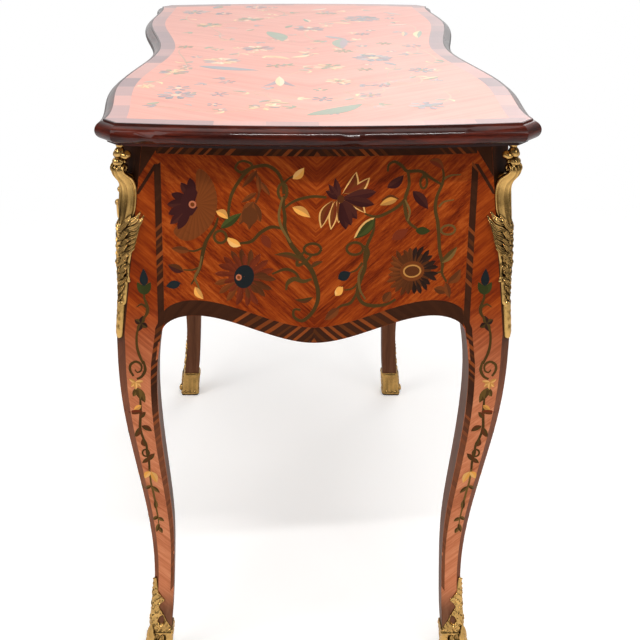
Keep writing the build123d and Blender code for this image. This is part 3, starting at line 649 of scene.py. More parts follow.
def ribbon_rows(count, columns):
    """Fluted band that runs up the corner and rolls into a scroll under the top."""
    spans = [0.0]
    for (z0, n0, *_), (z1, n1, *_) in zip(BAND, BAND[1:]):
        spans.append(spans[-1] + math.hypot(z1 - z0, n1 - n0))
    def at(d):
        d = min(max(d, 0.0), spans[-1])
        k = max(j for j in range(len(spans) - 1) if spans[j] <= d)
        t = (d - spans[k]) / (spans[k + 1] - spans[k])
        a, b = BAND[k], BAND[k + 1]
        before, after = BAND[max(k - 1, 0)], BAND[min(k + 2, len(BAND) - 1)]
        return [between(before[i], a[i], b[i], after[i], t) for i in range(4)]
    rows = []
    for d in steps(0.0, spans[-1], count):
        z, n, half, fall = at(d)
        z2, n2 = at(d + 0.4)[:2]
        z1, n1 = at(d - 0.4)[:2]
        long = math.hypot(z2 - z1, n2 - n1)
        normal = (-(n2 - n1) / long, (z2 - z1) / long)
        row = []
        for s in steps(-1.0, 1.0, columns):
            down = fall * s * s
            flute = FLUTE_DEPTH * (0.5 + 0.5 * math.cos(4 * math.pi * s)) ** 1.6 - down
            inner = BAND_THICK * 0.5 + down
            row.append(((half * s, z + normal[0] * flute, n + normal[1] * flute),
                        (half * s, z - normal[0] * inner, n - normal[1] * inner)))
        rows.append(row)
    return rows


def add_ribbon(bm, place, rows):
    """Closed shell between pairs of outer and inner points (w, z, lift)."""
    outer, inner = ([[bm.verts.new(place(*pair[k])) for pair in row] for row in rows] for k in (0, 1))
    close_shell(bm, outer, inner)


def add_bulb(bm, place, centre, radii, ribs, depth):
    """Ribbed ball: centre (w, z, lift), radii the same way."""
    rings, around = 13, 40
    grid = []
    for i in range(1, rings):
        tilt = math.pi * i / rings
        row = []
        for j in range(around):
            turn = 2 * math.pi * j / around
            swell = 1.0 + depth * math.cos(ribs * turn) * math.sin(tilt)
            w = centre[0] + radii[0] * swell * math.sin(tilt) * math.cos(turn)
            n = centre[2] + radii[2] * swell * math.sin(tilt) * math.sin(turn)
            row.append(bm.verts.new(place(w, centre[1] + radii[1] * math.cos(tilt), n)))
        grid.append(row)
    join_rows(bm, grid, close=True)
    for row, sign in ((grid[0], 1), (grid[-1], -1)):
        pole = bm.verts.new(place(centre[0], centre[1] + sign * radii[1], centre[2]))
        for j in range(around):
            bm.faces.new((row[j], row[(j + 1) % around], pole))


# side leaves of the mount: root, tip, half width, lifts, bend (w, z on the right; mirrored left)
MOUNT_LEAVES = [
    ((5.0, 640.0), (24.2, 660.5), 2.9, (9.0, 6.0, 1.4), 3.0),
    ((5.5, 635.0), (21.4, 654.0), 2.7, (8.6, 5.6, 1.4), 2.6),
    ((6.0, 630.0), (19.8, 647.5), 2.5, (8.2, 5.2, 1.4), 2.4),
    ((6.0, 623.0), (17.6, 640.0), 2.4, (7.8, 5.0, 1.4), 2.2),
    ((6.0, 617.0), (16.4, 633.5), 2.3, (7.4, 4.8, 1.4), 2.0),
    ((6.0, 611.0), (15.0, 627.0), 2.2, (7.0, 4.6, 1.4), 1.8),
    ((3.0, 646.0), (19.6, 665.0), 3.0, (10.4, 7.6, 1.6), 2.6),
    ((1.0, 641.0), (11.0, 661.0), 3.2, (12.0, 10.6, 5.6), 2.0),
    ((0.5, 629.0), (10.4, 647.0), 2.8, (11.6, 10.6, 5.4), 2.6),
    ((2.5, 622.0), (12.4, 637.0), 2.4, (10.2, 9.0, 3.8), 1.2),
    ((0.5, 613.0), (9.4, 630.0), 2.7, (11.2, 10.2, 5.4), 2.4),
    ((2.5, 603.0), (11.6, 617.0), 2.3, (9.8, 8.6, 3.6), 1.0),
    ((0.5, 597.0), (8.6, 612.0), 2.5, (10.6, 9.6, 5.0), 2.0),
    ((2.0, 588.0), (10.4, 600.0), 2.2, (9.2, 8.0, 3.4), 1.0),
    ((0.5, 580.0), (7.8, 594.0), 2.3, (9.8, 8.6, 4.6), 1.6),
    ((1.0, 572.0), (8.4, 583.0), 2.0, (8.6, 7.4, 3.2), 0.8),
    ((0.3, 562.0), (6.0, 575.0), 2.0, (8.6, 7.6, 4.0), 0.8),
    ((0.2, 553.0), (5.0, 564.0), 1.7, (7.8, 6.8, 3.8), 0.6),
]
# balls of the head: centre (w, z, lift), radii, ribs, rib depth
MOUNT_BULBS = [
    ((0.0, 717.0, 18.2), (9.8, 5.0, 6.4), 7, 0.06),
    ((0.0, 726.0, 18.4), (8.8, 6.2, 8.0), 9, 0.07),
    ((6.8, 733.6, 14.8), (6.0, 5.6, 7.0), 5, 0.04),
    ((-6.8, 733.6, 14.8), (6.0, 5.6, 7.0), 5, 0.04),
    ((0.0, 736.5, 19.2), (6.4, 7.6, 6.2), 6, 0.06),
    ((0.0, 746.4, 18.4), (5.4, 6.0, 5.6), 5, 0.05),
]


# filling behind the ribbon: slimmer and lower than it, closed by a last row (z, half width, lift)
FILL_SHARE, FILL_DROP, FILL_COUNT = 0.9, 1.2, 9
FILL_HEAD = (FILL_TOP + 8.0, 5.0, 6.0)
LONG_SIDE_FROM = 600.0                 # leaves above this hang lower on the long side


def make_mounts(gilt):
    """Four chased corner mounts."""
    for corner, (sx, sy) in SIGNS.items():
        bm = bmesh.new()
        even = corner_skin(sx, sy)
        place = chased(even)
        add_shell(bm, place, table_rows(TONGUE, 24, 13))
        add_shell(bm, place, table_rows(PLATE, 22, 17))
        add_shell(bm, place, table_rows(FLANGE, 40, 21, power=5.0))
        add_shell(bm, place, table_rows(HUSK, 110, 25, power=2.2, relief=husk_relief))
        fill = [(z, half * FILL_SHARE, n - FILL_DROP) for z, n, half, _ in BAND if z <= FILL_TOP]
        fill = fill[:FILL_COUNT] + [FILL_HEAD]
        add_shell(bm, even, table_rows(fill, 30, 17, power=2.4))
        add_ribbon(bm, even, ribbon_rows(120, 49))
        for root, tip, wide, lifts, bend in MOUNT_LEAVES:
            for side in (1, -1):
                low = LONG_SIDE_LOW if side > 0 else 1.0
                down = LONG_SIDE_DROP if side > 0 and root[1] > LONG_SIDE_FROM else 0.0
                rows = blade_rows((side * root[0], root[1] - down), (side * tip[0], tip[1] - down), wide,
                                  [low * lift for lift in lifts], bend=-side * bend)
                add_shell(bm, even, rows)
        for centre, radii, ribs, depth in MOUNT_BULBS:
            add_bulb(bm, even, centre, radii, ribs, depth)
        piece = new_piece(f"chased_mount_{corner}", bm, "carcass", gilt)
        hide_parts(f"corner_mount_{corner}")


# ---------------------------------------------------------------- sabots
# outline of a sabot's leaf by height: half width along the skin
SABOT_EDGE = [(50.0, 27.0), (56.0, 26.0), (62.0, 21.8), (70.0, 18.8), (77.0, 15.6), (82.0, 12.4),
              (86.0, 9.0), (89.0, 8.2), (92.5, 9.8), (96.0, 14.0), (98.5, 16.8), (101.0, 14.6),
              (104.0, 11.4), (108.0, 8.8), (112.0, 5.6), (118.0, 3.8), (126.0, 2.8), (133.0, 1.4)]
SABOT_TOP_CUP = 52.0
SABOT_SLIM = 0.14                      # share by which the leaf is narrower than its outline
SABOT_SEAT = -1.2                      # the sabots are let in this far
SABOT_SLIM_Z, SABOT_SLIM_RUN = 56.0, 20.0
SABOT_Z = (49.0, 133.0)
SABOT_ROWS, SABOT_COLUMNS = 84, 41
CUP_ROWS, CUP_AROUND = 40, 96
RING_PITCH = 2 * math.pi / 9.0


def sabot_relief(w, z, half):
    """Chasing of the leaf: spine, rim, veins and a pierced eye each side."""
    run = abs(w) / half
    spine = 2.6 * math.exp(-(w / 2.6) ** 2)
    rim = 1.3 * math.exp(-((1.0 - run) * half / 1.8) ** 2)
    vein = 0.7 * math.cos(z * 0.62 - abs(w) * 0.85)
    eye = ((abs(w) - 11.0) / 3.8) ** 2 + ((z - 67.0) / 6.6) ** 2
    pierced = 4.6 * math.exp(-eye ** 2)
    collar = 1.6 * math.exp(-(math.sqrt(eye) - 1.6) ** 2 * 5.0)
    edge = 1.0 - run ** 10
    return max(-0.8, (2.4 + spine + rim + vein + collar) * edge - pierced)


def cup_relief(w, z):
    """Chasing of the cup: foot ring, gadroons and an upper bead."""
    ring = 2.4 * math.exp(-((z - 5.0) / 4.0) ** 2)
    bead = 1.5 * math.exp(-((z - 47.0) / 2.2) ** 2)
    gadroon = 1.1 * math.cos(w * RING_PITCH + z * 0.06) * smooth((z - 8.0) / 6.0) * smooth((46.0 - z) / 8.0)
    toe = 3.4 * math.exp(-(w / 7.0) ** 2) * math.exp(-((z - 12.0) / 12.0) ** 2)
    return 2.2 + ring + bead + gadroon + toe


def make_sabots(gilt):
    """Four chased shoes on the feet."""
    for corner, (sx, sy) in SIGNS.items():
        bm = bmesh.new()
        place = chased(corner_skin(sx, sy))
        rows = []
        for z in steps(*SABOT_Z, SABOT_ROWS):
            slim = SABOT_SLIM * smooth((z - SABOT_SLIM_Z) / SABOT_SLIM_RUN)
            half = line(z, SABOT_EDGE) * (1.0 - slim)
            rows.append([(half * s, z, sabot_relief(half * s, z, half), SABOT_SEAT)
                         for s in steps(-1.0, 1.0, SABOT_COLUMNS)])
        add_shell(bm, place, rows)
        cup = []
        for z in steps(0.0, SABOT_TOP_CUP, CUP_ROWS):
            _, _, wide, cant = leg_form(z)
            around = cant / ROOT2 + (wide - cant) + wide
            cup.append([(around * s, z) for s in steps(-1.0, 1.0, CUP_AROUND + 1)[:-1]])
        outer = [[bm.verts.new(place(w, z, cup_relief(w, z))) for w, z in row] for row in cup]
        inner = [[bm.verts.new(place(w, z, SABOT_SEAT)) for w, z in row] for row in cup]
        join_rows(bm, outer, close=True)
        join_rows(bm, inner, close=True)
        for end in (0, -1):
            join(bm, outer[end], inner[end], close=True)
        add_bulb(bm, place, (0.0, 8.6, 5.0), (9.5, 8.3, 6.6), 2, 0.05)
        for side in (1, -1):
            add_bulb(bm, place, (side * 9.0, 9.0, 3.6), (3.2, 7.0, 5.6), 5, 0.08)
            add_shell(bm, place, blade_rows((side * 2.0, 14.0), (side * 15.0, 46.0), 5.0, (6.0, 5.2, 3.8),
                                            bend=-side * 3.0, lobes=4))
        add_shell(bm, place, blade_rows((0.0, 14.0), (0.0, 62.0), 6.0, (7.0, 6.6, 5.0), lobes=5))
        piece = new_piece(f"chased_sabot_{corner}", bm, "carcass", gilt)
        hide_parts(f"sabot_{corner}")


# ---------------------------------------------------------------- marquetry helpers
STEM = (0.060, 0.032, 0.007)
STEM_PALE = (0.13, 0.07, 0.018)
GREEN = (0.028, 0.032, 0.007)
YELLOW = (0.62, 0.28, 0.055)
OCHRE = (0.42, 0.19, 0.045)
CREAM = (0.62, 0.33, 0.10)
PURPLE = (0.034, 0.008, 0.007)
PLUM = (0.052, 0.013, 0.009)
BROWN = (0.135, 0.034, 0.007)
UMBER = (0.085, 0.024, 0.006)
RED = (0.125, 0.020, 0.006)
INK = (0.010, 0.013, 0.014)
PINK = (0.42, 0.13, 0.06)
BLACK = (0.022, 0.010, 0.006)
RAY_FROM = 1.2                         # metres out from the middle of the desk
INLAY_LIFT = 0.22                      # face of an inlay above the ground veneer, mm
LAYER_LIFT = 0.03                      # each layer laid over another, mm
PIECE_LIFT = 0.0006                    # keeps pieces of one layer apart, mm
INLAY_THICK = 0.5
FACE_RUN = 4.0                         # depth allowed between a face and its lower rim, mm
STROKE_STEP = 3.0
DISC_RINGS, DISC_SIDES = (0.03, 0.515, 1.0), 24
TINT_JITTER = 0.16
dice = random.Random(21)
# search for the lower edge of a face, mm above and below where it should be
FOOT_UP, FOOT_DOWN, FOOT_STEP, FOOT_TRIES = 12.0, 4.0, 0.2, 60


def tone(tint, gain):
    """Lighter or darker tint."""
    return [c * gain for c in tint]


class Canvas:
    """A face of the desk seen square on: (u, v) in millimetres, cast onto the solids."""

    def __init__(self, view, sign, names):
        verts, faces = [], []
        for name in names:
            mesh = nodes[name].data
            base = len(verts)
            verts += [v.co.copy() for v in mesh.vertices]
            faces += [[base + k for k in face.vertices] for face in mesh.polygons]
        self.tree = BVHTree.FromPolygons(verts, faces)
        self.view = view
        self.out = {"end": Vector((sign, 0, 0)), "side": Vector((0, sign, 0)),
                    "top": Vector((0, 0, 1))}[view]

    def place(self, u, v, lift):
        """World point over (u, v), or None off the solids."""
        start = {"end": (0, u, v), "side": (u, 0, v), "top": (v, u, 0)}[self.view]
        hit = self.tree.ray_cast(Vector(start) * MM + self.out * RAY_FROM, -self.out)[0]
        return hit + self.out * (lift * MM) if hit else None

    def foot(self, u, v):
        """Lowest height near v at which the face is met, no deeper in than FACE_RUN."""
        face = self.place(u, v + FOOT_UP, 0.0)
        for k in range(FOOT_TRIES):
            height = v - FOOT_DOWN + FOOT_STEP * k
            point = self.place(u, height, 0.0)
            if point and face and abs((point - face).dot(self.out)) < FACE_RUN * MM:
                return height + FOOT_STEP
        return v


def spline(points, step):
    """Smooth line through points, sampled about every step."""
    path = []
    for k in range(len(points) - 1):
        a, b = points[k], points[k + 1]
        before = points[k - 1] if k else (2 * a[0] - b[0], 2 * a[1] - b[1])
        after = points[k + 2] if k + 2 < len(points) else (2 * b[0] - a[0], 2 * b[1] - a[1])
        count = max(2, round(math.dist(a, b) / step))
        for j in range(count):
            t = j / count
            path.append(tuple(between(before[i], a[i], b[i], after[i], t) for i in (0, 1)))
    path.append(tuple(points[-1]))
    return path


class Sheet:
    """Veneer pieces laid on a canvas, each with its tint."""

    def __init__(self, canvas, step=STROKE_STEP, rise=1.0):
        self.canvas = canvas
        self.bm = bmesh.new()
        self.tint = self.bm.loops.layers.float_color.new("tint")
        self.laid = 0
        self.step, self.rise = step, rise
        self.move((0.0, 0.0))

    def move(self, shift, scale=1.0, flip=1):
        """Later pieces are scaled, flipped and shifted."""
        self.shift, self.scale, self.flip = shift, scale, flip

    def vertex(self, u, v, lift):
        """Mesh vertex over a point of the design."""
        point = self.canvas.place(self.shift[0] + self.flip * self.scale * u,
                                  self.shift[1] + self.scale * v, lift)
        return self.bm.verts.new(point) if point else None

    def grid(self, rows, tints, layer=0, close=False):
        """Faces between rows of (u, v); tints repeat across the columns."""
        self.laid += 1
        lift = self.rise * (INLAY_LIFT + LAYER_LIFT * layer + PIECE_LIFT * self.laid)
        gain = 1.0 + TINT_JITTER * (2 * dice.random() - 1)
        made = [[self.vertex(u, v, lift) for u, v in row] for row in rows]
        for a, b in zip(made, made[1:]):
            for k in range(len(a) if close else len(a) - 1):
                j = (k + 1) % len(a)
                corners = [a[k], a[j], b[j], b[k]]
                if None in corners:
                    continue
                face = self.bm.faces.new(corners)
                colour = tone(tints[k % len(tints)], gain)
                for loop in face.loops:
                    loop[self.tint] = (*colour, 1.0)

    def stroke(self, points, widths, tint=STEM, layer=0):
        """Tapering line; widths are half widths spread evenly along it."""
        path = spline(points, self.step)
        stops = [(k / (len(widths) - 1), w) for k, w in enumerate(widths)]
        rows = []
        for k, (u, v) in enumerate(path):
            half = curve(k / (len(path) - 1), stops)
            a, b = path[max(k - 1, 0)], path[min(k + 1, len(path) - 1)]
            long = math.dist(a, b) or 1.0
            du, dv = (b[0] - a[0]) / long, (b[1] - a[1]) / long
            rows.append([(u - dv * half * s, v + du * half * s) for s in (-1, 0, 1)])
        self.grid(rows, [tint], layer)

    def leaf(self, root, tip, half, tints, bend=0.0, layer=1, full=0.45):
        """Pointed leaf or petal in two tints, fullest at a share of its length."""
        du, dv = tip[0] - root[0], tip[1] - root[1]
        long = math.hypot(du, dv)
        across = (-dv / long, du / long)
        power = math.log(0.5) / math.log(full)
        rows = []
        for t in steps(0.0, 1.0, max(7, round(long / self.step))):
            wide = max(0.15, half * math.sin(math.pi * t ** power) ** 0.85)
            sway = bend * math.sin(math.pi * t)
            rows.append([(root[0] + du * t + across[0] * (wide * s + sway),
                          root[1] + dv * t + across[1] * (wide * s + sway)) for s in (-1, -0.5, 0, 0.5, 1)])
        self.grid(rows, [tints[0], tints[0], tints[-1], tints[-1]], layer)

    def disc(self, centre, radii, tint, layer=3, turn=0.0):
        """Oval."""
        rows = []
        for share in DISC_RINGS:
            row = []
            for k in range(DISC_SIDES):
                angle = 2 * math.pi * k / DISC_SIDES
                a, b = radii[0] * share * math.cos(angle), radii[1] * share * math.sin(angle)
                row.append((centre[0] + a * math.cos(turn) - b * math.sin(turn),
                            centre[1] + a * math.sin(turn) + b * math.cos(turn)))
            rows.append(row)
        self.grid(rows, [tint], layer, close=True)

    def loop(self, centre, radii, half, tint=STEM):
        """Tendril closed on itself."""
        ring = [(centre[0] + radii[0] * math.cos(a), centre[1] + radii[1] * math.sin(a))
                for a in steps(0.0, 2 * math.pi, 9)]
        self.stroke(ring, [half, half], tint, 1)

    def fan(self, pivot, outline, tints, layer=1):
        """Pieces spread from a pivot to an outline."""
        rows = [[(pivot[0] + (u - pivot[0]) * share, pivot[1] + (v - pivot[1]) * share)
                 for u, v in outline] for share in (0.04, 0.35, 0.7, 1.0)]
        self.grid(rows, tints, layer)

    def daisy(self, centre, start, reach, count, half, tints, layer=2, lean=0.0):
        """Ring of pointed petals, with tints chosen round the ring."""
        for k in range(count):
            angle = 2 * math.pi * (k + 0.5) / count + lean
            far = reach * (0.90 + 0.16 * dice.random())
            root = (centre[0] + start * math.cos(angle), centre[1] + start * math.sin(angle))
            tip = (centre[0] + far * math.cos(angle), centre[1] + far * math.sin(angle))
            shade = tints[int(len(tints) * k / count)]
            sway = 0.06 * far * (2 * dice.random() - 1)
            self.leaf(root, tip, half, [shade, tone(shade, 0.8)], bend=sway, layer=layer, full=0.68)

    def finish(self, name, body, slot, material):
        """Close the pieces into thin veneers."""
        for face in self.bm.faces:
            face.normal_update()
            if face.normal.dot(self.canvas.out) < 0.0:
                face.normal_flip()
        mesh = bpy.data.meshes.new(name)
        self.bm.to_mesh(mesh)
        self.bm.free()
        mesh.materials.append(material)
        piece = new_object(name, mesh)
        thick = piece.modifiers.new("thickness", "SOLIDIFY")
        thick.thickness = INLAY_THICK * MM
        thick.offset = -1.0
        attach(piece, body)


# ---------------------------------------------------------------- designs
def left_spray(s):
    """Left half of the end panel: poppy, tulip, daisy and their stems."""
    brim = spline([(-143, 712), (-139, 718), (-130, 713), (-122, 700), (-118, 684), (-119, 668), (-125, 652),
                   (-137, 639), (-151, 631), (-163, 632), (-171, 641), (-164, 652)], 2.6)
    s.fan((-143, 676), brim, [BROWN, tone(BROWN, 0.84), tone(BROWN, 0.93)], 1)
    tips = [(-150, 707), (-161, 701), (-173, 687), (-178, 674), (-177, 662), (-175, 650), (-166, 644)]
    for k, tip in enumerate(tips):
        s.leaf((-145, 678), tip, 5.2, [PURPLE, PLUM if k % 2 else PURPLE], layer=2, full=0.66)
    s.fan((-146, 674), [(-141, 690), (-146, 697), (-156, 692), (-161, 682), (-162, 670), (-158, 659),
                        (-148, 662), (-141, 672)], [PURPLE], 3)
    s.disc((-147.5, 675), (4.6, 4.6), PINK, 4)
    s.disc((-147.5, 675), (2.6, 2.6), BROWN, 5)
    s.stroke([(-92, 727), (-96, 720), (-89, 715), (-80, 719), (-72, 722), (-59, 723.5), (-47, 716.5),
              (-40, 703), (-38.5, 690)], [1.3, 1.9, 2.1, 1.8])
    s.stroke([(-92, 727), (-85, 728.5), (-76, 723), (-87, 711), (-98, 694), (-103, 679), (-105, 660)],
             [1.3, 1.9, 2.0, 1.6])
    s.leaf((-114, 647), (-89, 666), 5.0, [GREEN, tone(GREEN, 1.6)])
    s.leaf((-119, 668), (-105, 659), 5.0, [YELLOW, OCHRE], bend=2)
    for root, tip, half in (((-70, 718), (-88, 697), 3.4), ((-69, 712), (-67, 690), 3.2),
                            ((-66, 704), (-55, 688), 3.0), ((-71, 691), (-89, 679), 3.2)):
        s.leaf(root, tip, half, [BROWN, UMBER])
    s.stroke([(-72, 716), (-69, 705), (-68, 690), (-72, 679)], [1.3, 1.5, 1.2], UMBER)
    for tip, half in (((-92, 652), 5.0), ((-80, 646), 5.6), ((-66, 656), 5.2), ((-88, 668), 4.0)):
        s.leaf((-75, 680), tip, half, [BROWN, UMBER], layer=2, full=0.5)
    s.disc((-79, 663), (9.5, 11.0), UMBER, 3)
    s.loop((-40, 693), (5.4, 9.4), 1.7)
    s.stroke([(-39, 703), (-32, 709), (-26, 712)], [1.5, 1.1, 0.8])
    s.leaf((-28, 708), (-15, 721), 4.8, [YELLOW, CREAM], bend=-1.5)
    s.stroke([(-38, 673), (-25, 682), (-5, 687), (12, 686)], [1.3, 1.7, 1.5])
    s.leaf((-28, 674), (-7, 662), 5.2, [YELLOW, OCHRE], bend=1.5)
    s.stroke([(-38, 688), (-39, 676), (-37, 662), (-37, 649), (-30, 630), (-17, 613), (-5, 598), (0, 586),
              (4, 570), (3, 556), (-4, 542), (-15, 533), (-25, 538), (-25, 547), (-17, 547)],
             [1.8, 2.2, 3.2, 2.6, 2.2, 1.4])
    s.stroke([(-40, 686), (-44, 668), (-43, 655), (-38, 644), (-30, 631)], [1.2, 1.7, 1.4], STEM_PALE, 1)
    s.stroke([(-40, 648), (-53, 650), (-66, 643), (-77, 632), (-92, 629)], [1.6, 2.1, 2.0, 1.4])
    s.leaf((-90, 626), (-107, 636), 5.0, [YELLOW, CREAM], bend=1.5)
    s.loop((-114.5, 636.5), (7.6, 7.6), 1.6)
    s.stroke([(-117, 660), (-121, 648), (-131, 632), (-136, 616), (-139, 600), (-146, 584), (-151, 576)],
             [1.2, 1.9, 2.4, 1.8, 1.0])
    s.stroke([(-137, 612), (-141, 596), (-146, 585), (-142, 574), (-140, 568)], [1.0, 1.5, 1.0],
             STEM_PALE, 1)
    s.stroke([(-133, 624), (-146, 618), (-158, 619)], [1.4, 1.1, 0.8])
    s.leaf((-152, 618), (-174, 620), 4.4, [UMBER, BROWN])
    s.stroke([(-139, 598), (-150, 594), (-160, 594)], [1.3, 1.1, 0.8])
    s.leaf((-160, 592), (-179, 599), 5.4, [UMBER, PLUM])
    s.leaf((-164, 577), (-182, 572), 5.2, [INK, INK])
    s.leaf((-146, 573), (-136, 558), 4.6, [YELLOW, OCHRE], bend=-1.5)
    s.disc((-86, 588), (19.0, 20.0), RED, 1)
    s.daisy((-86, 588), 8.0, 37.5, 18, 3.5, [RED, UMBER, RED, BROWN, RED, UMBER], lean=0.1)
    s.daisy((-86, 588), 8.0, 29.0, 13, 3.0, [RED, RED, UMBER], layer=3, lean=0.32)
    s.disc((-86, 588), (12.0, 14.8), INK, 4, turn=-0.25)
    s.disc((-92.5, 587), (3.6, 3.9), PINK, 5)
    s.disc((-92.5, 587), (2.0, 2.2), BROWN, 6)
    s.stroke([(-52, 592), (-36, 598), (-24, 594), (-19, 586)], [1.1, 1.9, 1.4])
    s.leaf((-64, 640), (-54, 624), 5.4, [RED, RED])
    s.loop((-3.5, 623), (10.5, 7.0), 1.6)
    s.stroke([(-13, 620), (-20, 613), (-22, 603), (-14, 606), (-5, 615)], [1.5, 1.9, 1.5])
    s.leaf((-15, 608), (-49, 616), 3.6, [STEM, UMBER], bend=-3.5)
    s.leaf((-6, 600), (9, 608), 2.8, [STEM, UMBER], bend=1.5)
    s.leaf((-2, 563), (-24, 560), 3.0, [STEM, UMBER], bend=3)
    s.stroke([(-4, 586), (-14, 583), (-25, 586), (-33, 581), (-35, 572)], [1.4, 2.6, 2.8, 1.1])


def right_spray(s):
    """Right half of the end panel: open flower, round daisy and their stems."""
    for tip, half in (((22, 709), 4.2), ((11, 694), 4.2), ((14, 702), 3.6)):
        s.leaf((27, 684), tip, half, [PLUM, PURPLE], layer=2)
    petals = [((31, 690), (47, 716), 6.6, -5), ((34, 691), (63, 709), 6.4, -4),
              ((33, 683), (59, 667), 6.0, 4), ((20, 682), (6, 649), 6.2, -3),
              ((23, 682), (18, 647), 5.4, 0), ((25, 682), (27, 655), 4.8, 2)]
    for root, tip, half, bend in petals:
        s.leaf(root, tip, half, [CREAM, CREAM], bend=bend, layer=2, full=0.5)
        inner_tip = (root[0] + 0.93 * (tip[0] - root[0]), root[1] + 0.93 * (tip[1] - root[1]))
        s.leaf(root, inner_tip, half - 1.7, [BROWN, RED], bend=bend, layer=3, full=0.5)
    for tip, half in (((71, 692), 6.4), ((69, 677), 5.8), ((49, 660), 6.2), ((36, 647), 6.4),
                      ((42, 652), 6.0)):
        s.leaf((29, 685), tip, half, [PURPLE, PLUM], layer=4, full=0.6)
    s.disc((29, 684), (4.2, 5.0), UMBER, 5)
    s.stroke([(84, 716), (85, 724), (92, 727.5), (101, 722), (107, 716), (123, 715.5), (136, 707),
              (149, 699)], [1.2, 1.9, 1.9, 1.4])
    s.leaf((84, 697), (103, 711), 5.6, [PURPLE, PLUM], bend=-2)
    s.leaf((115, 692), (134, 670), 6.0, [PURPLE, PLUM], bend=1)
    s.loop((127.5, 702), (4.2, 7.0), 1.4)
    s.stroke([(108, 716), (110, 700), (106, 684), (107, 668), (112, 654), (122, 646)],
             [1.6, 2.0, 2.2, 1.4])
    s.stroke([(109, 690), (101, 677), (88, 668), (72, 662), (58, 666)], [1.2, 1.9, 1.9, 1.1])
    s.stroke([(106, 682), (112, 668), (110, 656)], [0.9, 1.4, 0.9], STEM_PALE, 1)
    s.leaf((120, 644), (138, 643), 4.8, [GREEN, GREEN])
    s.leaf((97, 683), (76, 676), 4.4, [YELLOW, OCHRE], bend=-1)
    s.stroke([(78, 682), (88, 687), (98, 683)], [0.9, 1.5, 0.9], UMBER, 2)
    s.leaf((70, 661), (46, 636), 7.0, [CREAM, GREEN], bend=1.5)
    s.leaf((69, 659), (49, 638), 5.4, [GREEN, tone(GREEN, 1.5)], bend=1.5, layer=2)
    s.leaf((92, 634), (111, 646), 6.0, [RED, RED])
    s.loop((47.5, 623.5), (10.2, 7.6), 1.6)
    s.stroke([(56, 627), (62, 624), (64, 616), (61, 606)], [1.3, 1.9, 1.4])
    s.stroke([(127, 709), (126, 714), (121, 716)], [1.2, 1.4, 1.2])
    s.stroke([(152, 641), (147, 645), (146, 656)], [1.1, 1.4, 1.2], STEM_PALE)
    s.stroke([(70, 660), (69, 645), (63, 630), (60, 617), (60, 600), (55, 584), (52, 569), (58, 556),
              (71, 551.5), (88, 553), (99, 559)], [1.3, 1.9, 2.4, 2.2, 2.2, 1.5])
    s.stroke([(58, 602), (53, 590), (55, 572), (62, 560)], [0.9, 1.6, 1.0], STEM_PALE, 1)
    s.leaf((84, 556), (93, 569), 5.4, [BROWN, UMBER])
    s.leaf((28, 586), (43, 594), 6.2, [INK, INK])
    s.stroke([(57, 606), (50, 597), (43, 594)], [1.4, 1.1, 0.8])
    s.stroke([(55, 584), (46, 574), (36, 572)], [1.4, 1.1, 0.8])
    s.leaf((25, 565), (34, 576), 4.6, [YELLOW, CREAM])
    s.disc((30, 572), (4.4, 4.4), YELLOW, 2)
    s.stroke([(52, 570), (44, 556), (32, 552), (27, 548)], [1.4, 1.8, 1.1])
    s.leaf((30, 549), (13, 534), 5.4, [UMBER, BROWN])
    s.disc((118, 594), (23.5, 23.5), UMBER, 1)
    s.daisy((118, 594), 11.0, 31.5, 24, 2.9,
            [BLACK, BLACK, UMBER, BROWN, BROWN, UMBER, BLACK, BLACK], lean=0.0)
    s.disc((118, 594), (15.0, 12.5), BROWN, 3)
    s.disc((118, 594), (11.2, 8.2), OCHRE, 4)
    s.disc((118, 594), (9.2, 6.4), UMBER, 5)
    s.leaf((133, 728), (151, 717), 4.6, [RED, BROWN], bend=3)
    s.stroke([(148, 722), (151, 711), (150, 700), (144, 684), (143, 669), (147, 652), (149, 634),
              (151, 617), (155, 602), (155, 590), (161, 579)], [1.1, 1.8, 2.1, 2.0, 2.0, 1.3])
    s.stroke([(150, 704), (158, 709), (172, 710)], [1.4, 1.1, 0.6], STEM_PALE)
    s.stroke([(147, 672), (153, 678), (165, 680)], [1.2, 1.0, 0.6], STEM_PALE)
    s.loop((160, 643.5), (8.8, 5.8), 1.3, STEM_PALE)
    s.leaf((154, 603), (172, 622), 4.6, [STEM_PALE, STEM], bend=-1)
    s.stroke([(135, 588), (146, 590), (155, 592)], [0.8, 1.1, 1.1])
    s.leaf((163, 577), (178, 594), 5.6, [BROWN, UMBER], bend=-3)
    s.leaf((146, 571), (164, 566), 5.0, [UMBER, BROWN])
    s.leaf((160, 578), (166, 558), 4.2, [BROWN, UMBER])


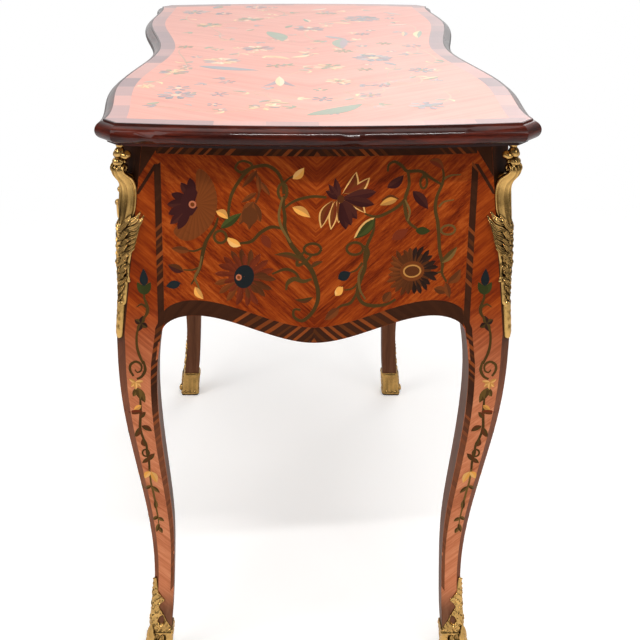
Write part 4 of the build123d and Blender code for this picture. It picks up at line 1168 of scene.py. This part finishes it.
def leg_vine(s):
    """Climbing vine on a leg: design drawn on the left leg of the end, u = y."""
    s.leaf((-209, 572), (-209, 594), 5.2, [INK, INK], layer=2, full=0.35)
    for du in (-5.5, 0, 5.5):
        s.leaf((-209, 561), (-209 + du * 1.5, 577), 4.2, [GREEN, GREEN])
    s.stroke([(-209, 565), (-209, 556), (-206, 547), (-206, 538), (-211, 530)], [1.0, 1.6, 2.2, 1.2])
    s.stroke([(-219, 545), (-213, 549), (-207, 545)], [0.5, 1.3, 1.5])
    for tip in ((-222, 529), (-206, 519), (-218, 514), (-211, 534)):
        s.leaf((-214, 524), tip, 3.6, [STEM, BLACK], layer=1)
    s.stroke([(-216, 524), (-220, 508), (-220, 492), (-217, 480), (-213, 470)], [1.4, 1.5, 1.8, 1.6])
    s.stroke([(-224, 462), (-221, 458), (-216, 461), (-216, 469), (-222, 473), (-229, 469), (-230, 461),
              (-226, 453)], [0.8, 1.2, 1.6, 1.7, 1.4])
    s.stroke([(-213, 474), (-211, 462), (-216, 452), (-222, 449)], [1.4, 2.0, 1.4])
    for tip in ((-232, 449), (-230, 438), (-217, 437), (-214, 446), (-224, 434)):
        s.leaf((-224, 444), tip, 2.4, [OCHRE, CREAM], layer=2)
    for tip, half in (((-228, 424), 4.0), ((-213, 415), 4.6), ((-219, 420), 4.0)):
        s.leaf((-221, 436), tip, half, [STEM, tone(STEM, 1.8)])
    s.leaf((-218, 411), (-228, 404), 3.2, [YELLOW, OCHRE])
    s.leaf((-217, 402), (-236, 400), 3.4, [RED, UMBER])
    s.stroke([(-219, 425), (-219, 408), (-220, 392), (-221, 376), (-218, 362), (-214, 350), (-214, 338),
              (-212, 325), (-212, 310)], [1.2, 1.6, 1.8, 1.5, 1.6, 1.4])
    for root, tip, half in (((-220, 392), (-213, 401), 3.6), ((-221, 378), (-229, 362), 3.6),
                            ((-219, 380), (-206, 372), 3.8), ((-214, 348), (-219, 360), 4.0),
                            ((-212, 326), (-204, 337), 3.4), ((-213, 330), (-221, 322), 3.0)):
        s.leaf(root, tip, half, [STEM, UMBER], bend=1.0)
    s.loop((-215.5, 338), (4.4, 5.4), 1.2)
    s.leaf((-211, 308), (-219, 297), 4.0, [YELLOW, CREAM], bend=-1)
    s.leaf((-210, 308), (-203, 290), 4.2, [YELLOW, CREAM], bend=1)
    s.stroke([(-212, 312), (-211, 290), (-208, 270), (-206, 250), (-204, 232), (-203, 214)],
             [1.0, 1.3, 1.4, 1.1, 0.5], STEM_PALE)
    for root, tip in (((-211, 285), (-220, 279)), ((-210, 284), (-200, 273)), ((-206, 246), (-206, 262)),
                      ((-204, 232), (-196, 226)), ((-204, 234), (-211, 228)), ((-203, 216), (-199, 206)),
                      ((-203, 222), (-207, 208))):
        s.leaf(root, tip, 2.8, [STEM_PALE, STEM])


# ---------------------------------------------------------------- bands
BAND_LAYER = -3                        # bands lie lower than the inlays
POST_IN_Y = 189.0
ARCH_RISE, ARCH_WIDE = 26.5, 45.0
BAND_TALL, BAND_LOW, BAND_SIDE = 18.0, 19.5, 8.0
# low points of the aprons, outward from the middle: place, height
END_EDGE = [(0.0, 504.5), (144.0, 536.5)]
SIDE_EDGE = [(0.0, 604.0), (165.0, 610.0), (276.0, 516.0), (390.0, 536.5)]
KING_DARK = (0.036, 0.011, 0.004)
KING_MID = (0.080, 0.021, 0.005)
KING_LIGHT = (0.18, 0.040, 0.008)
BAND_FADED = (0.17, 0.055, 0.024)       # stripes fade to this down the leg
DARK_RUNS = ((652.0, 717.0), (516.0, 566.0), (400.0, 440.0))   # unstriped lengths of a leg's band
LEG_BAND_Z = (112.0, 717.0)            # ends of a leg's band
LEG_BAND_SLIM, LEG_BAND_RUN = 0.45, 200.0   # share it loses over this height down to the ankle
POST_BAND_Z, POST_BAND_RUN = 516.0, 10.0    # over this rise it moves in to the apron's joint
FADE, FADE_Z, FADE_RUN = 0.8, 440.0, 120.0
STRIPE_SLIM, STRIPE_WIDE, STRIPE_VARY = 3.4, 5.4, 3.2
STRIPE_TINTS = (KING_DARK, KING_LIGHT, KING_DARK, KING_MID, KING_DARK, KING_LIGHT)
BAND_STEP, SMALLEST = 4.0, 0.2         # length of a mesh step; shorter stripes are left out
HALVINGS = 24                          # of the search for a point of the swaying run
HEAD_LEAN = 0.66                       # outward step per step down
# dark stripes at the head of a leg face: top, bottom, start, width
HEAD_STRIPES = [(752.4, 707.0, 181.0, 40.0), (722.0, 686.0, 188.0, 4.6)]


def lower_edge(place, stops):
    """Height of an apron's lower edge, from its swaying run and the arch by the leg."""
    run = abs(place)
    top, arch = stops[-1]
    if run >= top:
        share = min(1.0, (run - top) / ARCH_WIDE)
        return SPRING_Z + ARCH_RISE * math.sqrt(1.0 - share * share)
    k = max(j for j in range(len(stops) - 1) if stops[j][0] <= run)
    (a, low), (b, high) = stops[k], stops[k + 1]
    share, low_t, high_t = (run - a) / (b - a), 0.0, 1.0
    for _ in range(HALVINGS):
        t = (low_t + high_t) / 2
        if 1.5 * t - 1.5 * t * t + t ** 3 < share:
            low_t = t
        else:
            high_t = t
    return low + (high - low) * smooth(low_t)


def stripes(start, end, dark=()):
    """Breaks and tints of crossbanding from start to end, all dark inside the dark spans."""
    found = [(start, KING_DARK)]
    place, shade = start, 0
    while place < end:
        shade += 1
        place += (STRIPE_WIDE if shade % 2 == 0 else STRIPE_SLIM) + STRIPE_VARY * dice.random()
        inside = any(a <= place <= b for a, b in dark)
        found.append((min(place, end), KING_DARK if inside else STRIPE_TINTS[shade % len(STRIPE_TINTS)]))
    return found


def lay_band(s, breaks, point, layer):
    """Crossbanding: point(along, across 0 to 1) gives (u, v)."""
    for (a, _), (b, tint) in zip(breaks, breaks[1:]):
        rows = [[point(along, across) for across in (0.0, 0.33, 0.67, 1.0)]
                for along in steps(a, b, 2 + int((b - a) / BAND_STEP))]
        if math.dist(rows[0][0], rows[-1][0]) + math.dist(rows[0][-1], rows[-1][-1]) > SMALLEST:
            s.grid(rows, [tint], layer)


def apron_bands(s, half, stops, dark_top=((), ()), top=CARCASS_Z - 0.4, over=0.0):
    """Top band and band along the lower edge, their stripes leaning together in the middle."""
    layer = BAND_LAYER
    for side, dark in zip((-1, 1), dark_top):
        def upper(a, b):
            return side * min(max(a - BAND_TALL * b, 0.0), half + over), top - BAND_TALL * (1 - b)
        def lower(a, b):
            u = min(max(a - BAND_LOW * b, 0.0), half)
            base = s.canvas.foot(side * u, lower_edge(u, stops))
            return side * u, base + BAND_LOW * b
        lay_band(s, stripes(0.0, half + over + BAND_TALL, dark), upper, layer)
        lay_band(s, stripes(0.0, half + BAND_LOW, ((half - 74.0, half + BAND_LOW),)), lower, layer)


def leg_bands(s, offset, side):
    """Striped band on the inner edge of one leg face and the mitred stripes at its head."""
    def inner(z, b):
        z = z - BAND_SIDE * (b - 1.0)
        _, y, wide, _ = leg_form(z)
        start = y - wide + 0.4
        if z > SPRING_Z:
            start = min(start, POST_IN_Y - (BAND_SIDE / 2) * smooth((z - POST_BAND_Z) / POST_BAND_RUN))
        slim = LEG_BAND_SLIM * (1.0 - smooth((z - ANKLE_Z) / LEG_BAND_RUN))
        reach = BAND_SIDE * (1.0 - slim)
        return side * (offset + start + reach * b), z
    found = stripes(*LEG_BAND_Z, DARK_RUNS)
    fade = [(z, [c + (f - c) * FADE * smooth((FADE_Z - z) / FADE_RUN) for c, f in zip(tint, BAND_FADED)])
            for z, tint in found]
    lay_band(s, fade, inner, BAND_LAYER)
    for top, bottom, start, wide in HEAD_STRIPES:
        rows = []
        for z in steps(top, bottom, 12):
            _, y, _, cant = leg_form(z)
            right = y - cant - 0.3
            left = min(start + HEAD_LEAN * (top - z), right - 0.1)
            far = min(left + wide, right)
            rows.append([(side * (offset + left + (far - left) * q), z) for q in (0.0, 0.5, 1.0)])
        s.grid(rows, [KING_DARK], BAND_LAYER + 1)


# ---------------------------------------------------------------- dressing the faces
LEG_FACE_SHIFT = POST_X - POST_Y      # a leg's side face is its end face moved along X
DRAWER_CENTRE = {"left": -337.0, "right": 337.0, "middle": 0.0}
DRAWER_BOX = {"left": (98.0, 556.8, 732.2), "right": (98.0, 556.8, 732.2), "middle": (219.0, 639.8, 732.2)}
BORDER = 8.0
END_DARK = (((66, 104),), ((90, 152),))   # unstriped lengths of an end's top band, left and right
DESIGN_STEP = 4.0
# flowers of the back and of each drawer front: spray, place, scale, flip
BACK_SPRAYS = [(left_spray, (232, 50), 0.92, -1), (right_spray, (0, 265), 0.64, 1),
               (left_spray, (-232, 50), 0.92, 1), (right_spray, (0, 265), 0.64, -1)]
DRAWER_SPRAYS = {
    "left": [(right_spray, (-417, 148), 0.78, 1)],
    "right": [(right_spray, (417, 148), 0.78, -1)],
    "middle": [(right_spray, (60, 298), 0.60, 1), (left_spray, (-60, 298), 0.60, 1)],
}


def leg_faces(s, offset, work):
    """Do some work on both leg faces of a side."""
    for side in (1, -1):
        work(s, offset, side)


def lay_sprays(s, sprays):
    """Flowers, each moved, scaled and flipped to its place."""
    for spray, shift, scale, flip in sprays:
        s.move(shift, scale, flip)
        spray(s)


def lay_vine(s, offset, side):
    """The vine on one leg face."""
    s.move((-side * offset, 0.0), flip=side)
    leg_vine(s)


def dress_end(sign, tag, inlay):
    """Bands and flowers of one bowed end and the end faces of its legs."""
    canvas = Canvas("end", sign, [f"end_apron_{tag}", f"leg_back_{tag}", f"leg_front_{tag}"])
    s = Sheet(canvas)
    apron_bands(s, POST_IN_Y - BAND_SIDE / 2, END_EDGE, dark_top=END_DARK, over=5.0)
    leg_faces(s, 0.0, leg_bands)
    s.finish(f"bands_end_{tag}", "carcass", "kingwood", inlay)
    s = Sheet(canvas)
    left_spray(s)
    right_spray(s)
    leg_faces(s, 0.0, lay_vine)
    s.finish(f"marquetry_end_{tag}", "carcass", "tulipwood", inlay)


def dress_side_legs(sign, tag, inlay):
    """Bands and vines on the long-side faces of two legs."""
    canvas = Canvas("side", sign, [f"leg_{tag}_right", f"leg_{tag}_left"])
    s = Sheet(canvas)
    leg_faces(s, LEG_FACE_SHIFT, leg_bands)
    s.finish(f"bands_legs_{tag}", "carcass", "kingwood", inlay)
    s = Sheet(canvas)
    leg_faces(s, LEG_FACE_SHIFT, lay_vine)
    s.finish(f"marquetry_legs_{tag}", "carcass", "leg_wood", inlay)


def dress_back(inlay):
    """Bands and flowers of the back apron."""
    canvas = Canvas("side", 1, ["back_apron", "leg_back_right", "leg_back_left"])
    s = Sheet(canvas)
    apron_bands(s, POST_IN_X - 4.0, SIDE_EDGE, over=5.0)
    s.finish("bands_back", "carcass", "kingwood", inlay)
    s = Sheet(canvas, step=DESIGN_STEP)
    lay_sprays(s, BACK_SPRAYS)
    s.finish("marquetry_back", "carcass", "tulipwood", inlay)


def dress_drawer(name, inlay):
    """Border and flowers of one drawer front."""
    canvas = Canvas("side", -1, [f"drawer_{name}_front"])
    half, low, high = DRAWER_BOX[name]
    centre = DRAWER_CENTRE[name]
    body = f"drawer_{name}"
    s = Sheet(canvas)
    s.move((centre, 0))
    for side in (-1, 1):
        for base in (low, high - BORDER):
            def level(a, b):
                return side * min(max(a - BORDER * b, 0.0), half), base + BORDER * b
            lay_band(s, stripes(0.0, half + BORDER), level, BAND_LAYER)
        def upright(z, b):
            return side * (half - BORDER * (1.0 - b)), min(max(z - BORDER * (b - 1.0), low), high)
        lay_band(s, stripes(low - BORDER, high), upright, BAND_LAYER + 1)
    s.finish(f"bands_drawer_{name}", body, "kingwood", inlay)
    s = Sheet(canvas, step=DESIGN_STEP)
    lay_sprays(s, DRAWER_SPRAYS[name])
    s.finish(f"marquetry_drawer_{name}", body, "drawer_veneer", inlay)


# ---------------------------------------------------------------- top marquetry
SAGE = (0.26, 0.30, 0.20)
SLATE = (0.24, 0.24, 0.26)
LILAC = (0.34, 0.24, 0.26)
MIST = (0.46, 0.34, 0.32)
BUTTER = (0.86, 0.56, 0.28)
BONE = (0.88, 0.60, 0.40)
MOSS = (0.30, 0.26, 0.13)
TWIG = (0.60, 0.33, 0.20)
ROSE = (0.66, 0.28, 0.20)
# flowers: centre (across, along), reach, petals, tints, heart
TOP_FLOWERS = [
    (100, 80, 30, 13, [SLATE, MIST, LILAC], BUTTER), (115, -333, 34, 11, [LILAC, SLATE, MIST], SLATE),
    (-172, 357, 26, 9, [SLATE, LILAC, MIST], BONE), (-172, 310, 18, 7, [LILAC, MIST], BONE),
    (-69, -7, 26, 10, [BONE, LILAC, MIST], MOSS), (18, -207, 26, 9, [BONE, LILAC, SLATE], SLATE),
    (-185, 193, 22, 9, [MOSS, BUTTER, SLATE], BUTTER), (38, 262, 19, 8, [BUTTER, BONE], MOSS),
    (158, 180, 20, 8, [SLATE, LILAC], MOSS), (31, 153, 24, 9, [BUTTER, MOSS, BONE], MOSS),
    (-122, 105, 28, 12, [BUTTER, BONE, MIST], ROSE), (-82, -327, 24, 9, [SAGE, BONE, MOSS], SAGE),
    (-152, -253, 24, 9, [BUTTER, SAGE, MOSS], SAGE), (-184, -420, 26, 9, [SLATE, MIST], MOSS),
    (135, 423, 24, 7, [LILAC, MIST], SLATE), (-130, -400, 16, 7, [LILAC, SLATE], BONE),
    (11, 383, 15, 6, [SLATE, LILAC], LILAC), (73, 357, 16, 6, [LILAC, SLATE], MOSS),
    (92, 292, 14, 6, [LILAC, SLATE], LILAC), (-62, 430, 20, 5, [BUTTER, MIST], ROSE),
    (-45, 145, 15, 5, [MOSS, SLATE], MOSS), (-118, 352, 14, 6, [LILAC, MIST], LILAC),
    (102, -152, 14, 6, [LILAC, SLATE], SLATE), (-110, 268, 12, 6, [MIST, LILAC], MIST),
    (60, 18, 15, 7, [MOSS, SAGE], MOSS), (128, -55, 13, 6, [MOSS, SAGE], MOSS),
    (60, -400, 15, 7, [MIST, SAGE], MOSS), (-72, -490, 24, 9, [LILAC, MIST], BONE),
    (170, -30, 16, 7, [LILAC, MIST], ROSE), (-180, -22, 13, 6, [SAGE, MOSS], MOSS),
    (-215, 298, 14, 8, [BUTTER, BONE], BUTTER), (80, 175, 13, 6, [MOSS, SAGE], MOSS),
]
# leaves: root, tip, half width, tints, bend
TOP_LEAVES = [
    ((-12, 478), (58, 412), 13, [SAGE, SAGE], 6), ((-152, 147), (-68, 182), 11, [SLATE, SLATE], 3),
    ((-52, -180), (-30, -78), 14, [SAGE, SAGE], -6), ((68, -105), (60, -5), 12, [LILAC, SAGE], 5),
    ((40, -130), (72, -98), 7, [SLATE, LILAC], 2), ((200, -188), (188, -110), 7, [SAGE, BUTTER], 3),
    ((172, -178), (166, -128), 5, [MIST, BUTTER], -2), ((118, 432), (158, 404), 7, [SLATE, MOSS], 3),
    ((-62, 300), (-40, 232), 5, [LILAC, LILAC], 8), ((-20, 300), (-38, 232), 5, [LILAC, LILAC], -8),
    ((-40, 298), (-40, 228), 6, [BUTTER, BONE], 0), ((-20, 75), (8, 50), 6, [BUTTER, BONE], 4),
    ((-62, 60), (-22, 92), 7, [BUTTER, BUTTER], -6), ((150, 250), (176, 228), 6, [BUTTER, MOSS], 2),
    ((112, 118), (128, 142), 5, [SLATE, LILAC], 0), ((190, 95), (198, 112), 5, [SAGE, MOSS], 0),
    ((-205, 415), (-190, 400), 5, [SAGE, MOSS], 1), ((-150, 425), (-160, 412), 4, [ROSE, MIST], 1),
    ((-100, -215), (-128, -222), 5, [ROSE, MIST], 1), ((-75, -205), (-88, -190), 5, [MOSS, BONE], 1),
    ((20, -290), (12, -330), 6, [SAGE, BONE], 2), ((150, -250), (188, -262), 5, [BONE, MIST], 2),
    ((92, -268), (60, -284), 5, [BUTTER, BONE], 2), ((-150, -470), (-140, -508), 9, [SLATE, MOSS], 3),
    ((-10, -250), (-22, -220), 5, [SAGE, MOSS], 1), ((30, -445), (60, -470), 6, [MIST, BONE], 2),
    ((190, -380), (160, -420), 6, [MIST, ROSE], 2), ((-30, 410), (-60, 398), 4, [MOSS, BUTTER], 1),
]
# tendrils: points (across, along)
TOP_STEMS = [
    [(-75, 345), (-55, 370), (-52, 405), (-70, 425), (-98, 440)],
    [(168, 330), (172, 368), (158, 400), (132, 420), (112, 432)],
    [(40, 330), (50, 360), (52, 395), (30, 420), (0, 440)],
    [(105, 230), (112, 190), (124, 160), (120, 120), (104, 92)],
    [(38, 262), (66, 250), (92, 262), (112, 280), (150, 262), (176, 228)],
    [(-40, 300), (-66, 330), (-100, 345), (-122, 330), (-150, 340)],
    [(31, 153), (14, 176), (-10, 190), (-20, 205), (-36, 232)],
    [(-69, -7), (-96, 20), (-98, 60), (-112, 92)],
    [(-69, -7), (-40, 30), (2, 26), (12, 55), (-20, 88), (-60, 92)],
    [(62, 18), (86, 30), (96, 58), (100, 80)],
    [(100, 80), (150, 60), (172, 20), (170, -30), (140, -52)],
    [(60, -5), (40, -40), (20, -90), (8, -150), (18, -200)],
    [(18, -207), (44, -240), (52, -290), (92, -300), (112, -325)],
    [(115, -333), (150, -300), (180, -280), (196, -230), (192, -180)],
    [(-30, -80), (-60, -60), (-96, -72), (-128, -110), (-130, -160), (-150, -230)],
    [(-152, -253), (-120, -290), (-90, -320), (-88, -370), (-125, -398)],
    [(-82, -327), (-40, -350), (-20, -400), (-40, -450), (-70, -488)],
    [(-20, -400), (20, -420), (58, -402), (90, -370)],
    [(-184, -420), (-196, -360), (-188, -300), (-168, -262)],
    [(-185, 193), (-196, 240), (-214, 290), (-196, 330), (-175, 350)],
    [(-185, 193), (-170, 150), (-176, 90), (-188, 20), (-180, -20)],
    [(158, 180), (172, 140), (190, 100), (186, 40), (172, -20)],
    [(158, 180), (140, 210), (150, 245), (140, 280), (100, 292)],
    [(11, 383), (40, 372), (73, 357), (92, 330), (92, 300)],
    [(-45, 145), (-20, 160), (10, 158), (31, 153)],
    [(-62, 430), (-90, 452), (-130, 455), (-160, 440), (-196, 420)],
    [(60, -400), (100, -440), (150, -450), (185, -400)],
]
SPRIGS = 84
FIELD_U, FIELD_V = 215, 500            # half size of the field that they are drawn in
CLEAR = ((30, 0), (-30, 0), (0, 30), (0, -30))   # it has to be met here round each of them


def add_sprig(s, u, v):
    """Small spray of leaves, or a little blossom, kept clear of the edge of the field."""
    turn, pick = 2 * math.pi * dice.random(), dice.random()
    tints = dice.choice(([MIST, LILAC], [BUTTER, BONE], [SAGE, MOSS], [LILAC, SLATE], [ROSE, MIST]))
    if any(s.canvas.place(u + du, v + dv, 0.0) is None for du, dv in CLEAR):
        return
    if pick < 0.4:
        s.daisy((u, v), 2.0, 9.0 + 5.0 * pick, 5, 2.6, tints, layer=0, lean=turn)
        s.disc((u, v), (2.6, 2.6), BONE, 2)
        return
    for spread, far in ((0.0, 17.0), (0.9, 12.0), (-0.9, 12.0)):
        tip = (u + far * math.cos(turn + spread), v + far * math.sin(turn + spread))
        s.leaf((u, v), tip, 2.8, tints, bend=2.0 * spread, layer=0)
    s.stroke([(u, v), (u - 9 * math.cos(turn + 0.3), v - 9 * math.sin(turn + 0.3)),
              (u - 20 * math.cos(turn), v - 20 * math.sin(turn))], [0.8, 0.7, 0.4], TWIG, -1)


def dress_top(inlay):
    """Flowers, leaves and tendrils of the writing surface."""
    s = Sheet(Canvas("top", 1, ["top_field_veneer"]), step=5.0, rise=0.25)
    for points in TOP_STEMS:
        s.stroke(points, [0.5, 1.1, 1.3, 1.0, 0.5], TWIG)
        a, b = points[len(points) // 2 - 1], points[len(points) // 2]
        middle = ((a[0] + b[0]) / 2, (a[1] + b[1]) / 2)
        turn = math.atan2(b[1] - a[1], b[0] - a[0])
        for side in (1, -1):
            angle = turn + side * 0.8
            far = 16 + 6 * dice.random()
            tip = (middle[0] + far * math.cos(angle), middle[1] + far * math.sin(angle))
            s.leaf(middle, tip, 4.2, [MOSS, MIST] if side > 0 else [BUTTER, ROSE], bend=side * 2.0)
        curl = points[0]
        s.stroke([curl, (curl[0] + 8, curl[1] + 12), (curl[0] + 19, curl[1] + 9),
                  (curl[0] + 18, curl[1] - 2), (curl[0] + 10, curl[1] + 1)],
                 [0.9, 0.9, 0.7, 0.4], TWIG)
    for _ in range(SPRIGS):
        add_sprig(s, FIELD_U * (2 * dice.random() - 1), FIELD_V * (2 * dice.random() - 1))
    for root, tip, half, tints, bend in TOP_LEAVES:
        s.leaf(root, tip, half, tints, bend=bend, layer=2)
    for u, v, reach, count, tints, heart in TOP_FLOWERS:
        s.daisy((u, v), reach * 0.2, reach, count, reach * 0.19, tints * 2, layer=3, lean=dice.random())
        s.disc((u, v), (reach * 0.26, reach * 0.26), heart, 5)
    s.finish("marquetry_top", "carcass", "top_marquetry", inlay)


DRAWERS = ("left", "right", "middle")


def paint_cad():
    """Finish of every CAD node, and the pieces laid on or over them."""
    end = wood("tulipwood_end", TULIP, fold=(1, (0,)), turn=(PANEL_CHEVRON, 0, 0))
    along = dict(turn=(0, -PANEL_CHEVRON, 0), stretch=(0.03, 1, 1))
    side = wood("tulipwood_side", TULIP, fold=(0, (0,)), **along)
    bay = wood("tulipwood_bay", TULIP, fold=(0, (0, DRAWER_CENTRE["right"])), **along)
    king = wood("kingwood", KING, fold=(0, (0,)), turn=(0, -BAND_CHEVRON, 0), stretch=(0.02, 1, 1),
                period=11, gain=4.6)
    mahogany = wood("mahogany", MAHOGANY, stretch=(0.1, 0.1, 1), period=14, rough=0.3, gloss=0.1,
                    coat=0.36, coat_rough=0.03)
    oak = wood("oak", OAK, stretch=(1, 0.05, 1), period=7, rough=0.55)
    oak_along = wood("oak_along", OAK, stretch=(0.05, 1, 1), period=7, rough=0.55)
    top = wood("top_field", TOP, fold=(1, (0,)), turn=(0, 0, TOP_CHEVRON), period=4.5, gain=2.4,
               rough=TOP_ROUGH, **TOP_POLISH)
    # after colour and roughness: the colour of tarnish and painted shade, then how much the hollows darken
    gilt = metal("ormolu", (0.70, 0.42, 0.135), 0.24, (0.035, 0.017, 0.005), 1.8)
    steel = metal("steel", (0.45, 0.43, 0.40), 0.35, (0.12, 0.10, 0.09))
    paint(end, "end_apron_right", "end_apron_left")
    paint(side, "back_apron", "drawer_middle_front")
    paint(bay, "drawer_right_front", "drawer_left_front")
    paint(leg_finish(), *[f"leg_{c}" for c in SIGNS])
    paint(king, "front_top_rail", "partition_left", "partition_right",
          *[f"front_rail_{part}" for part in DRAWERS])
    paint(mahogany, *[f"moulding_{part}" for part in ("end_right", "end_left", "front", "back", "corners")])
    paint(oak, "top_core", "drawer_runners", "drawer_guides", "drawer_kickers", "drawer_stops",
          "top_blocks")
    paint(top, "top_field_veneer")
    paint(cross_finish(), "top_crossbanding")
    paint(gilt, *[f"corner_mount_{c}" for c in SIGNS], *[f"sabot_{c}" for c in SIGNS])
    paint(steel, "top_screws")
    for drawer in DRAWERS:
        paint(oak, f"drawer_{drawer}_sides")
        paint(oak_along, f"drawer_{drawer}_back", f"drawer_{drawer}_bottom")
        paint(steel, f"drawer_{drawer}_lock")
        paint(gilt, f"drawer_{drawer}_escutcheon", f"drawer_{drawer}_pull_posts", f"drawer_{drawer}_bail")
    make_mounts(gilt)
    make_sabots(gilt)
    inlay = inlay_finish("inlay")
    for sign, tag in ((1, "right"), (-1, "left")):
        dress_end(sign, tag, inlay)
    for sign, tag in ((1, "back"), (-1, "front")):
        dress_side_legs(sign, tag, inlay)
    dress_back(inlay)
    for drawer in DRAWERS:
        dress_drawer(drawer, inlay)
    dress_top(inlay_finish("inlay_top", **TOP_POLISH))


make_camera()
make_world()
make_lamps()
make_floor()
paint_cad()
bpy.context.scene.view_settings.view_transform = "Standard"
